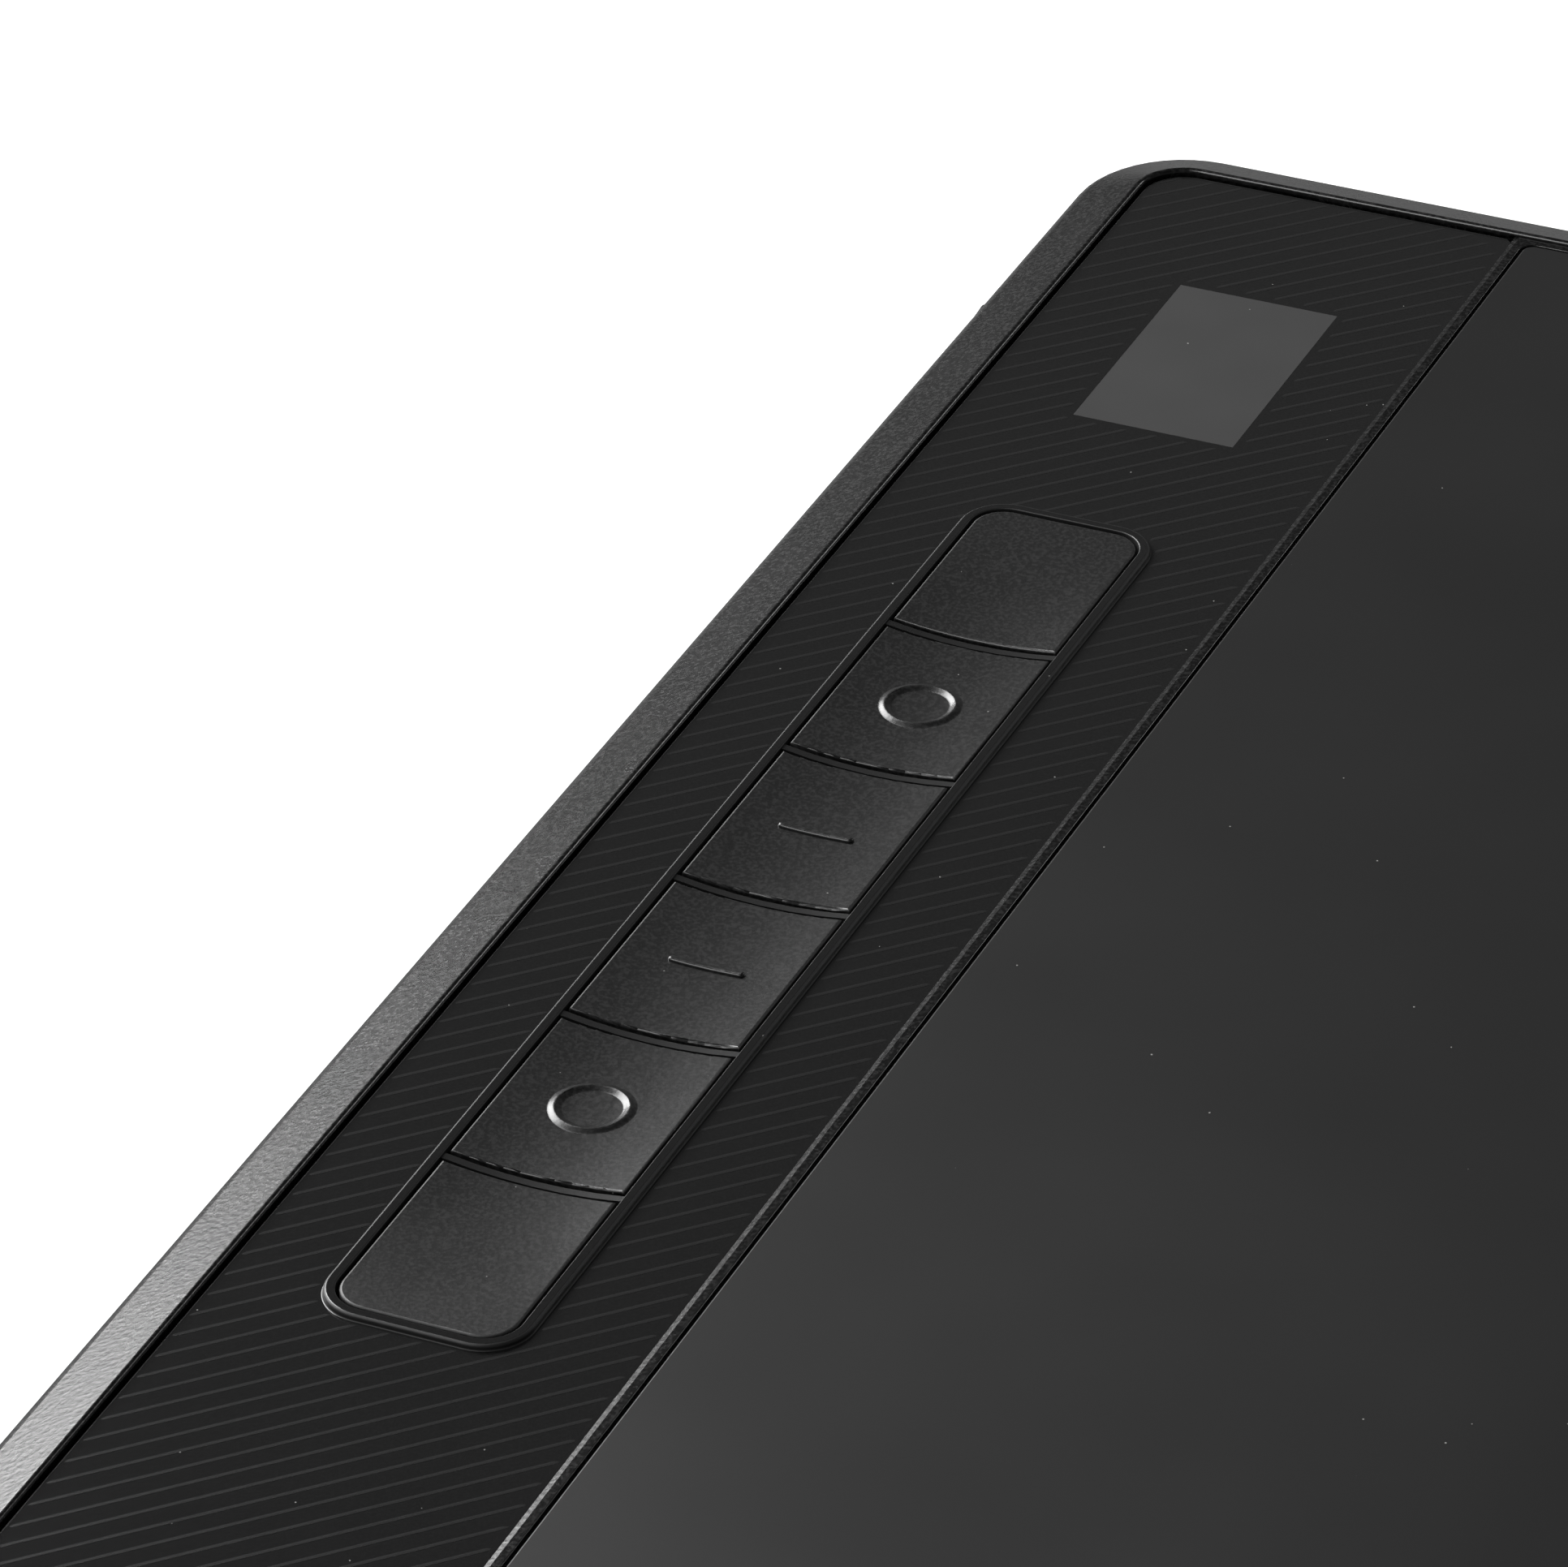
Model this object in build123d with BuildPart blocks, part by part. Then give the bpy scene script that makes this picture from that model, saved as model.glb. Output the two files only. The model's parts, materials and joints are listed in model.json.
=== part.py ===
from build123d import *
import os
from math import radians, tan

# A graphics tablet, in millimetres: a wide flat casing with a drawing sheet on its deck and,
# on its left, a striped side panel with six sprung keys. X runs to the right, Y runs away
# from the user, Z runs up, and the rubber feet stand on Z = 0.

# Casing, as two moulded shells
width = 354.0
depth = 223.0
corner_radius = 9.0
wall = 1.6
foot_stand = 0.8
parting_height = 3.2
slope_height = 9.2  # where the border's slope would meet the field, before it is rounded
border_run = 5.44
border_angle = 20.8
crest_round = 0.3
edge_round = 1.5
field_drop = 0.45
belly_round = 2.0
base_thickness = 1.6
deck_thickness = 1.4
deck_frame = 2.0
ledge_thickness = 1.2
lip_height = 1.0
lip_thickness = 0.7
lip_gap = 0.1

# Side panel
panel_width = 29.0
panel_gap = 0.2
panel_drop = 0.15
panel_thickness = 1.2
panel_edge_round = 0.2
panel_corner = 0.6
tape_thickness = 0.1
tape_width = 2.0
tape_inset = 0.6
strip_width = 1.05
strip_bevel = 0.4
recess_edge_round = 0.1

# Key column and the raised rim round it
key_count = 6
key_width = 12.46
key_length = 16.8
seam = 1.2
web_width = 0.6
key_gap = 0.25
key_corner = 2.35
key_edge_round = 0.18
key_centre_from_side = 19.7
key_travel = 0.5
key_below_rim = 0.05
dish_depth = 0.45
flat_dish = 0.04
web_drop = 0.2
rim_width = 0.8
rim_height = 0.45
rim_round = 0.25
rim_inner_round = 0.1
rim_foot_round = 0.12
key_skin = 0.65
key_wall = 1.0
key_rest_gap = 0.05
key_lip = 0.9
key_lip_thickness = 0.4
key_lip_setback = 3.0
key_lip_clearance = 0.35
key_rib = 0.8
key_rib_depth = 0.4
plunger_radius = 1.6

# Raised marks on the keys
mark_height = 0.25
ring_radius = 2.5
ring_width = 1.0
dash_length = 5.6
dash_width = 0.6
mark_round = 0.2
ring_keys = (2, 5)
dash_keys = (3, 4)

# Badge plate above the keys
badge_width = 12.65
badge_length = 21.1
badge_thickness = 0.4
badge_centre_from_side = 20.27
badge_centre_from_back = 32.36

# Drawing sheet and what lies under the deck
sheet_gap = 0.3
sheet_margin = 1.0
sheet_corner = 0.9
sheet_thickness = 0.5
sheet_glue = 0.1
glue_inset = 0.3
sheet_proud = 0.08
sheet_edge_round = 0.15
sensor_end_margin = 7.0
sensor_side_margin = 8.0
sensor_thickness = 0.8
sensor_corner = 2.0
tail_from_board_start = 15.0
tail_length = 6.0
tail_width = 18.0
shield_thickness = 0.25
foam_thickness = 0.6
foam_inset = 3.0

# Circuit boards in the left bay
board_level = 3.2
board_thickness = 1.0
board_corner = 1.0
key_board_width = 20.0
key_board_overhang = 2.5
main_board_width = 27.0
main_board_from_wall = 1.5
board_spacing = 2.1
main_board_clearance = 3.8
board_screw_inset = 2.6
main_screw_inset = 6.5
key_flex_width = 6.0
sensor_flex_width = 14.0
flex_thickness = 0.25
flex_overlap = 4.0
flex_ease = 1.5
flex_arch = 0.9
flex_bend = 0.8

# Chips on the main board, as size along X, size along Y, height, and place from its centre
# as shares of its width and length
chips = (
    (9.0, 9.0, 1.0, 0.15, 0.16),
    (6.0, 6.0, 0.9, -0.18, -0.08),
    (3.2, 2.5, 0.8, 0.11, -0.08),
    (6.5, 3.0, 1.2, 0.15, -0.24),
)

# Tact switches under the keys
tact_size = 4.5
tact_height = 1.5
tact_bevel = 0.2
tact_floor = 0.3
button_radius = 1.0
button_length = 1.15
button_clearance = 0.08

# Power switch in the left wall
knob_length = 8.0
knob_height = 1.6
knob_end_from_board_start = 28.0
knob_proud = 0.85
knob_toe = 0.3
knob_round = 0.25
knob_travel = 2.0
slot_clearance = 0.15
flange_thickness = 0.8
flange_lap = 0.6
flange_rise = 0.3
switch_length = 8.0
switch_width = 2.8
switch_height = 1.4
switch_setback = 0.4
lever_width = 1.2
lever_height = 0.7
lever_bury = 1.2
prong_width = 0.8
prong_reach = 0.8
running_gap = 0.1

# Cable socket
socket_from_board_start = 10.2
socket_width = 8.94
socket_height = 3.2
socket_depth = 7.3
socket_wall = 0.3
socket_setback = 0.3
socket_clearance = 0.2
socket_back = 1.3
wing_width = 1.0
wing_length = 2.0
wing_thickness = 0.3
wing_from_back = 1.0
tongue_width = 6.7
tongue_thickness = 0.7
tongue_length = 4.6

# Battery, and its two leads in clips along the left wall
battery_width = 24.0
battery_thickness = 3.2
battery_boss_clearance = 2.3
battery_board_clearance = 3.6
battery_round = 0.8
cradle_wall = 1.2
cradle_height = 1.5
cradle_gap = 0.3
lead_diameter = 1.2
lead_spacing = 1.6
lead_exit = 9.6
lead_lane = 13.7
lead_sway = 0.5
arc_share = 0.45
plug_setback = 0.5
plug_length = 4.0
plug_width = 3.6
plug_height = 1.7
clip_wall = 0.8
clip_rise = 0.8
clip_length = 2.0
clip_count = 3

# Fasteners and feet
fit = 0.02
screw_columns = 4
screw_inset = 9.0
screw_radius = 1.0
screw_head_radius = 1.9
screw_head_height = 1.1
screw_sink = 1.3
screw_length = 4.6
screw_clearance = 0.2
drive_width = 0.5
drive_length = 2.2
drive_depth = 0.6
boss_radius = 2.7
collar_height = 1.0
board_screw_radius = 0.8
board_screw_head = 1.5
board_screw_head_height = 0.5
board_screw_length = 2.4
post_radius = 2.2
foot_length = 34.0
foot_width = 8.0
foot_recess = 0.4
foot_inset_x = 42.0
foot_inset_y = 22.0
foot_round = 0.3
rib_thickness = 1.2
rib_columns = 6
rib_rows = 3

# Levels worked out from the sizes above
border_fall = border_run * tan(radians(border_angle))
base_top = foot_stand + base_thickness
strip_z = slope_height - field_drop
panel_z = strip_z - panel_drop
panel_bottom = panel_z - panel_thickness
ledge_top = panel_bottom - tape_thickness
ledge_bottom = ledge_top - ledge_thickness
rim_z = panel_z + rim_height
key_z = rim_z - key_below_rim
key_bottom = panel_bottom - key_rest_gap - key_lip_thickness
sheet_z = strip_z + sheet_proud
deck_top = sheet_z - sheet_thickness - sheet_glue
deck_bottom = deck_top - deck_thickness
sensor_bottom = deck_bottom - sensor_thickness
shield_bottom = sensor_bottom - shield_thickness
foam_bottom = shield_bottom - foam_thickness
board_top = board_level + board_thickness
tact_top = board_top + tact_height
button_top = tact_top + key_travel + running_gap
dish_z = key_z - dish_depth
pocket_top = dish_z - key_skin
lever_z = board_top + switch_height / 2
lead_z = board_top + lead_diameter / 2 + fit
screw_seat = foot_stand + screw_sink
collar_top = base_top + collar_height

# Places worked out from the sizes above
half_width = width / 2
half_depth = depth / 2
field_left = -half_width + border_run
field_half = half_depth - border_run
field_radius = corner_radius - border_run
panel_left = field_left + panel_gap
panel_right = panel_left + panel_width
panel_half = field_half - panel_gap
sheet_left = panel_right + strip_width + sheet_gap
sheet_right = half_width - border_run - sheet_margin
sheet_half = field_half - sheet_margin
sheet_x = (sheet_left + sheet_right) / 2
sheet_width = sheet_right - sheet_left
sensor_width = sheet_width - 2 * sensor_side_margin
sensor_depth = 2 * (sheet_half - sensor_end_margin)
sensor_left = sheet_left + sensor_side_margin
key_x = -half_width + key_centre_from_side
key_pitch = key_length + seam
column_length = key_count * key_length + (key_count - 1) * seam
opening_width = key_width + 2 * key_gap
opening_length = column_length + 2 * key_gap
badge_x = -half_width + badge_centre_from_side
badge_y = half_depth - badge_centre_from_back
dish_radius = (key_width**2 / 4 + dish_depth**2) / (2 * dish_depth)
cavity_left = -half_width + wall
boss_face = half_depth - screw_inset - boss_radius
main_board_left = cavity_left + main_board_from_wall
main_board_right = main_board_left + main_board_width
main_board_x = main_board_left + main_board_width / 2
key_board_length = column_length + 2 * key_board_overhang
key_board_end = key_board_length / 2
main_board_start = key_board_end + board_spacing
main_board_length = boss_face - main_board_clearance - main_board_start
main_board_y = main_board_start + main_board_length / 2
main_screw_left = main_board_left + main_screw_inset
main_screw_right = main_board_right - board_screw_inset
key_flex_x = (key_x + main_board_x) / 2
tail_left = sensor_left - tail_length
tail_y = main_board_start + tail_from_board_start
knob_end = main_board_start + knob_end_from_board_start
knob_y = knob_end - knob_length / 2
slot_length = knob_length + knob_travel + 2 * slot_clearance
slot_y = knob_y - knob_travel / 2
flange_x = cavity_left + running_gap
flange_length = knob_length + 2 * (knob_travel + flange_lap)
switch_left = main_board_left + switch_setback
socket_y = main_board_start + socket_from_board_start
socket_mouth = -half_width + socket_setback
socket_end = socket_mouth + socket_depth
battery_start = -boss_face + battery_boss_clearance
battery_end = -key_board_end - battery_board_clearance
battery_length = battery_end - battery_start
battery_y = (battery_start + battery_end) / 2
exit_x = key_x - lead_exit
lane_x = key_x - lead_lane
clip_channel = lead_spacing + lead_diameter + 2 * (lead_sway + running_gap)
plug_start = main_board_start + plug_setback
web_end_drop = web_drop / 2

# Places of repeated pieces, along X and Y
screw_pitch = 2 * (half_width - screw_inset) / (screw_columns - 1)
screw_places = GridLocations(screw_pitch, 2 * (half_depth - screw_inset), screw_columns, 2)
foot_places = GridLocations(2 * (half_width - foot_inset_x), 2 * (half_depth - foot_inset_y), 2, 2)
key_ys = [((key_count - 1) / 2 - index) * key_pitch for index in range(key_count)]
key_places = Locations([(key_x, key_y) for key_y in key_ys])
web_ys = [(upper + lower) / 2 for upper, lower in zip(key_ys, key_ys[1:])]
clip_ys = [((clip_count - 1) / 2 - index) * column_length / clip_count for index in range(clip_count)]
clip_places = Locations([(lane_x, clip_y) for clip_y in clip_ys])


def corners(middle_x, middle_y, reach_x, reach_y):
    """Give the four corners of a rectangle."""
    return [(middle_x + i * reach_x, middle_y + j * reach_y) for i in (-1, 1) for j in (-1, 1)]


board_screw_places = Locations(
    corners(key_x, 0, key_board_width / 2 - board_screw_inset, key_board_end - board_screw_inset)
    + corners(
        (main_screw_left + main_screw_right) / 2,
        main_board_y,
        (main_screw_right - main_screw_left) / 2,
        main_board_length / 2 - board_screw_inset,
    )
)

# Route of the battery leads, midway between the two
lead_route = [
    (exit_x, battery_end),
    (exit_x, battery_end + 4),
    (lane_x + 0.4, battery_end + 11.5),
    (lane_x, battery_end + 27),
    (lane_x - lead_sway, -4),
    (lane_x, plug_start - 34),
    (lane_x - 0.4, plug_start - 15),
    (lane_x, plug_start - 6),
    (lane_x, plug_start),
]

os.makedirs("parts", exist_ok=True)


def save(part, name):
    """Name one finished piece and write it to its own file."""
    part.label = name
    export_step(part, f"parts/{name}.step")


def bowed_outline(reach, end_z, middle_z, level):
    """Outline the space between a level and an arc that dips over the key column's middle."""
    with BuildLine() as outline:
        bow = ThreePointArc((key_x - reach, end_z), (key_x, middle_z), (key_x + reach, end_z))
        Polyline(bow @ 1, (key_x + reach, level), (key_x - reach, level), bow @ 0)
    return outline.line


# Top shell: one border profile swept round the field, over a hollow plate
with BuildPart() as top_shell:
    with BuildSketch(Plane.XY.offset(parting_height)):
        RectangleRounded(-2 * field_left, 2 * field_half, field_radius)
    extrude(amount=strip_z - parting_height)
    with BuildLine() as field_line:
        FilletPolyline(
            (field_left, 0),
            (field_left, field_half),
            (-field_left, field_half),
            (-field_left, -field_half),
            (field_left, -field_half),
            (field_left, 0),
            radius=[0, field_radius, field_radius, field_radius, field_radius],
        )
    with BuildSketch(Plane(origin=(field_left, 0, 0), x_dir=(-1, 0, 0), z_dir=(0, 1, 0))):
        with BuildLine():
            FilletPolyline(
                (0, parting_height),
                (0, slope_height),
                (border_run, slope_height - border_fall),
                (border_run, parting_height),
                radius=[0, crest_round, edge_round, 0],
                close=True,
            )
        make_face()
    sweep(path=field_line.wire())
    # Hollow under the border and the ledge, and a higher one under the deck
    with BuildSketch(Plane.XY.offset(parting_height)):
        RectangleRounded(width - 2 * wall, depth - 2 * wall, corner_radius - wall)
    extrude(amount=ledge_bottom - parting_height, mode=Mode.SUBTRACT)
    with BuildSketch(Plane.XY.offset(ledge_bottom)):
        with Locations(((sheet_left - field_left - deck_frame) / 2, 0)):
            Rectangle(-field_left - deck_frame - sheet_left, 2 * (field_half - deck_frame))
    extrude(amount=deck_bottom - ledge_bottom, mode=Mode.SUBTRACT)
    # Recess of the drawing sheet, with softened edges
    with BuildSketch(Plane.XY.offset(deck_top)):
        with Locations((sheet_x, 0)):
            RectangleRounded(
                sheet_width + 2 * sheet_gap, 2 * (sheet_half + sheet_gap), sheet_corner + sheet_gap
            )
    extrude(amount=slope_height - deck_top, mode=Mode.SUBTRACT)
    field_face = top_shell.faces().filter_by_position(Axis.Z, strip_z, strip_z)[0]
    fillet(field_face.inner_wires()[0].edges(), recess_edge_round)
    # Bay of the side panel, its ledge and the opening for the keys
    with BuildSketch(Plane.XY.offset(ledge_top)) as bay_outline:
        with Locations(((field_left + panel_right + fit) / 2, 0)):
            Rectangle(panel_right + fit - field_left, 2 * field_half)
        fillet(bay_outline.vertices().group_by(Axis.X)[0], field_radius)
    extrude(amount=slope_height - ledge_top, mode=Mode.SUBTRACT)
    strip_edges = top_shell.edges().filter_by(Axis.Y).filter_by_position(Axis.Z, strip_z, strip_z)
    chamfer(
        strip_edges.sort_by_distance((panel_right, 0, strip_z))[0],
        length=panel_drop - fit,
        length2=strip_bevel,
        reference=top_shell.faces().sort_by_distance((panel_right, 0, (ledge_top + strip_z) / 2))[0],
    )
    with BuildSketch(Plane.XY.offset(ledge_bottom)):
        with Locations((key_x, 0)):
            Rectangle(
                key_width + 2 * (key_lip + key_lip_clearance),
                opening_length + 2 * key_lip_clearance,
            )
    extrude(amount=ledge_top - ledge_bottom, mode=Mode.SUBTRACT)
    # Screw bosses with their blind holes
    with BuildSketch(Plane.XY.offset(collar_top)):
        with screw_places:
            Circle(boss_radius)
    extrude(amount=deck_bottom - collar_top + fit)
    with BuildSketch(Plane.XY.offset(collar_top)):
        with screw_places:
            Circle(screw_radius + fit)
    extrude(amount=screw_seat + screw_length + running_gap - collar_top, mode=Mode.SUBTRACT)
    # Slot of the power knob and the mouth of the cable socket
    with BuildSketch(Plane.YZ.offset(-half_width)):
        with Locations((slot_y, lever_z)):
            Rectangle(slot_length, knob_height + 2 * slot_clearance)
        with Locations((socket_y, board_top)):
            SlotOverall(socket_width + 2 * socket_clearance, socket_height + 2 * socket_clearance)
    extrude(amount=wall, mode=Mode.SUBTRACT)
save(top_shell.part, "top_shell")

# Bottom shell: a shallow tray whose lip stands inside the top shell
with BuildPart() as bottom_shell:
    with BuildSketch(Plane.XY.offset(foot_stand)):
        RectangleRounded(width, depth, corner_radius)
    extrude(amount=parting_height - foot_stand)
    fillet(bottom_shell.faces().sort_by(Axis.Z)[0].edges(), belly_round)
    with BuildSketch(Plane.XY.offset(parting_height)):
        RectangleRounded(
            width - 2 * (wall + lip_gap), depth - 2 * (wall + lip_gap), corner_radius - wall - lip_gap
        )
    extrude(amount=lip_height)
    with BuildSketch(Plane.XY.offset(base_top)):
        inset = wall + lip_gap + lip_thickness
        RectangleRounded(width - 2 * inset, depth - 2 * inset, corner_radius - inset)
    extrude(amount=parting_height + lip_height - base_top, mode=Mode.SUBTRACT)
    # One gap in the lip for socket and knob, and the lower half of the socket's mouth
    lip_gap_start = socket_y - socket_width / 2 - socket_clearance
    lip_gap_end = slot_y + (flange_length + knob_travel) / 2 + 2 * slot_clearance
    with BuildSketch(Plane.XY.offset(parting_height)):
        with Locations((cavity_left, lip_gap_start)):
            Rectangle(
                2 * (lip_gap + lip_thickness),
                lip_gap_end - lip_gap_start,
                align=(Align.CENTER, Align.MIN),
            )
    extrude(amount=lip_height, mode=Mode.SUBTRACT)
    with BuildSketch(Plane.YZ.offset(-half_width)):
        with Locations((socket_y, board_top)):
            SlotOverall(socket_width + 2 * socket_clearance, socket_height + 2 * socket_clearance)
    extrude(amount=wall + lip_gap + lip_thickness, mode=Mode.SUBTRACT)
    # Ribs that bear up the sensor from below
    rib_area_x = sensor_width - 2 * foam_inset
    rib_area_y = sensor_depth - 2 * foam_inset
    with BuildSketch(Plane.XY.offset(base_top)):
        with Locations((sheet_x, 0)):
            with GridLocations(rib_area_x / rib_columns, 0, rib_columns, 1):
                Rectangle(rib_thickness, rib_area_y - rib_area_y / rib_rows + rib_thickness)
            with GridLocations(0, rib_area_y / rib_rows, 1, rib_rows):
                Rectangle(rib_area_x - rib_area_x / rib_columns + rib_thickness, rib_thickness)
    extrude(amount=foam_bottom - base_top)
    # Posts of both boards, with blind holes for their screws
    with BuildSketch(Plane.XY.offset(base_top)):
        with board_screw_places:
            Circle(post_radius)
    extrude(amount=board_level - base_top)
    with BuildSketch(Plane.XY.offset(board_top - board_screw_length - running_gap)):
        with board_screw_places:
            Circle(board_screw_radius + fit)
    extrude(amount=board_screw_length, mode=Mode.SUBTRACT)
    # Collars, sunk seats and holes of the case screws, drilled from below
    with BuildSketch(Plane.XY.offset(base_top)):
        with screw_places:
            Circle(boss_radius)
    extrude(amount=collar_height)
    with screw_places:
        with Locations(Plane((0, 0, foot_stand), z_dir=(0, 0, -1))):
            CounterBoreHole(
                screw_radius + fit,
                screw_head_radius + screw_clearance,
                screw_sink,
                collar_top - foot_stand,
            )
    # Battery cradle, and the clips that carry the leads
    with BuildSketch(Plane.XY.offset(base_top)):
        with Locations((key_x, battery_y)):
            Rectangle(
                battery_width + 2 * (cradle_gap + cradle_wall),
                battery_length + 2 * (cradle_gap + cradle_wall),
            )
            Rectangle(
                battery_width + 2 * cradle_gap, battery_length + 2 * cradle_gap, mode=Mode.SUBTRACT
            )
    extrude(amount=cradle_height)
    with BuildSketch(Plane.XY.offset(base_top)):
        with clip_places:
            Rectangle(clip_channel + 2 * clip_wall, clip_length)
    extrude(amount=board_top + clip_rise - base_top)
    with BuildSketch(Plane.XY.offset(board_top)):
        with clip_places:
            Rectangle(clip_channel, clip_length)
    extrude(amount=clip_rise, mode=Mode.SUBTRACT)
    # Shallow seats for the feet
    with BuildSketch(Plane.XY.offset(foot_stand)):
        with foot_places:
            SlotOverall(foot_length + 2 * fit, foot_width + 2 * fit)
    extrude(amount=foot_recess, mode=Mode.SUBTRACT)
save(bottom_shell.part, "bottom_shell")

# Side panel: a striped inlay with the raised rim and the webs between the keys
with BuildPart() as side_panel:
    with BuildSketch(Plane.XY.offset(panel_bottom)) as panel_outline:
        with Locations(((panel_left + panel_right) / 2, 0)):
            Rectangle(panel_width, 2 * panel_half)
        fillet(panel_outline.vertices().group_by(Axis.X)[0], field_radius - panel_gap)
        chamfer(panel_outline.vertices().group_by(Axis.X)[-1], panel_corner)
    extrude(amount=panel_thickness)
    outer_edges = side_panel.faces().sort_by(Axis.Z)[-1].edges()
    fillet(outer_edges.sort_by(Axis.X)[:-3], panel_edge_round)
    with BuildSketch(Plane.XY.offset(panel_z)):
        with Locations((key_x, 0)):
            RectangleRounded(
                opening_width + 2 * rim_width,
                opening_length + 2 * rim_width,
                key_corner + key_gap + rim_width,
            )
    extrude(amount=rim_height)
    fillet(side_panel.faces().sort_by(Axis.Z)[-1].edges(), rim_round)
    panel_face = side_panel.faces().filter_by_position(Axis.Z, panel_z, panel_z)[0]
    fillet(panel_face.inner_wires()[0].edges(), rim_foot_round)
    with BuildSketch(Plane.XY.offset(panel_bottom)):
        with Locations((key_x, 0)):
            RectangleRounded(opening_width, opening_length, key_corner + key_gap)
    extrude(amount=panel_thickness + rim_height, mode=Mode.SUBTRACT)
    inner_edges = side_panel.faces().sort_by(Axis.Z)[-1].inner_wires()[0].edges()
    fillet(inner_edges, rim_inner_round)
    # Each web is a thin bar whose top follows the keys' dish
    for web_y in web_ys:
        with BuildSketch(Plane.XZ.offset(-web_y)):
            with BuildLine():
                add(
                    bowed_outline(
                        opening_width / 2, key_z - web_end_drop, dish_z - web_drop, panel_bottom
                    )
                )
            make_face()
        extrude(amount=web_width / 2, both=True)
    # Seat of the badge plate
    with BuildSketch(Plane.XY.offset(panel_z)):
        with Locations((badge_x, badge_y)):
            Rectangle(badge_width + 2 * fit, badge_length + 2 * fit)
    extrude(amount=-badge_thickness, mode=Mode.SUBTRACT)
save(side_panel.part, "side_panel")

# Adhesive frame under the side panel
with BuildPart() as panel_tape:
    with BuildSketch(Plane.XY.offset(ledge_top)) as tape_outline:
        with Locations(((panel_left + panel_right) / 2, 0)):
            Rectangle(panel_width - 2 * tape_inset, 2 * (panel_half - tape_inset))
        fillet(tape_outline.vertices(), field_radius - panel_gap - tape_inset)
        offset(amount=-tape_width, kind=Kind.INTERSECTION, mode=Mode.SUBTRACT)
    extrude(amount=tape_thickness)
save(panel_tape.part, "panel_tape")

# Bare badge plate, flush in the side panel
with BuildPart() as badge_plate:
    with BuildSketch(Plane.XY.offset(panel_z - badge_thickness)):
        with Locations((badge_x, badge_y)):
            Rectangle(badge_width, badge_length)
    extrude(amount=badge_thickness)
save(badge_plate.part, "badge_plate")

# Raised ring and raised dash, whose tops follow the dish that they stand on
with BuildPart() as ring_mark:
    with BuildSketch(Plane.XY.offset(dish_z - mark_height)):
        with Locations((key_x, 0)):
            Circle(ring_radius + ring_width / 2)
            Circle(ring_radius - ring_width / 2, mode=Mode.SUBTRACT)
    extrude(amount=2 * mark_height + dish_depth)
    with Locations((key_x, 0, dish_z + dish_radius)):
        Cylinder(dish_radius - mark_height, key_width, rotation=(90, 0, 0), mode=Mode.SUBTRACT)
    fillet(ring_mark.faces().sort_by(Axis.Z)[-1].edges(), mark_round)
with BuildPart() as dash_mark:
    with BuildSketch(Plane.XY.offset(dish_z - mark_height)):
        with Locations((key_x, 0)):
            SlotOverall(dash_length, dash_width)
    extrude(amount=2 * mark_height + dish_depth)
    with Locations((key_x, 0, dish_z + dish_radius)):
        Cylinder(dish_radius - mark_height, key_width, rotation=(90, 0, 0), mode=Mode.SUBTRACT)
    fillet(dash_mark.faces().sort_by(Axis.Z)[-1].edges(), mark_round)

# Keys: dished caps on hollow skirts, held in by side lips, each over a switch button
for number, key_y in enumerate(key_ys, start=1):
    outer_end = {1: 1, key_count: -1}.get(number, 0)
    with BuildPart() as key:
        with BuildSketch(Plane.XY.offset(key_bottom)) as key_outline:
            with Locations((key_x, key_y)):
                Rectangle(key_width, key_length)
            if outer_end:
                fillet(key_outline.vertices().sort_by(Axis.Y)[::-outer_end][:2], key_corner)
        extrude(amount=key_z - key_bottom)
        # The dish runs through, and fades out towards the outer end of an end key
        inner_end = -outer_end or -1
        for end in (inner_end, -inner_end):
            sag = flat_dish if end == outer_end else dish_depth
            with BuildSketch(Plane.XZ.offset(-key_y - end * key_length / 2)):
                with BuildLine():
                    add(bowed_outline(key_width / 2, key_z, key_z - sag, key_z + dish_depth))
                make_face()
        loft(mode=Mode.SUBTRACT)
        fillet(key.faces().sort_by(Axis.Z)[-1].edges(), key_edge_round)
        # Hollow from below, with a rib cross and the post that presses the button
        with BuildSketch(Plane.XY.offset(key_bottom)):
            with Locations((key_x, key_y)):
                RectangleRounded(
                    key_width - 2 * key_wall, key_length - 2 * key_wall, key_corner - key_wall
                )
        extrude(amount=pocket_top - key_bottom, mode=Mode.SUBTRACT)
        with BuildSketch(Plane.XY.offset(pocket_top)):
            with Locations((key_x, key_y)):
                Rectangle(key_width - 2 * key_wall, key_rib)
                Rectangle(key_rib, key_length - 2 * key_wall)
        extrude(amount=-key_rib_depth)
        with BuildSketch(Plane.XY.offset(button_top)):
            with Locations((key_x, key_y)):
                Circle(plunger_radius)
        extrude(amount=pocket_top - button_top)
        # Lips that the side panel holds down
        with BuildSketch(Plane.XY.offset(key_bottom)):
            with Locations((key_x, key_y)):
                with GridLocations(key_width + key_lip, 0, 2, 1):
                    Rectangle(key_lip, key_length - key_lip_setback)
        extrude(amount=key_lip_thickness)
        if number in ring_keys:
            with Locations((0, key_y)):
                add(ring_mark.part)
        if number in dash_keys:
            with Locations((0, key_y)):
                add(dash_mark.part)
    save(key.part, f"key_{number}")
    with BuildPart() as switch_button:
        with BuildSketch(Plane.XY.offset(button_top - button_length)):
            with Locations((key_x, key_y)):
                Circle(button_radius)
        extrude(amount=button_length)
    save(switch_button.part, f"switch_button_{number}")

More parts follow.
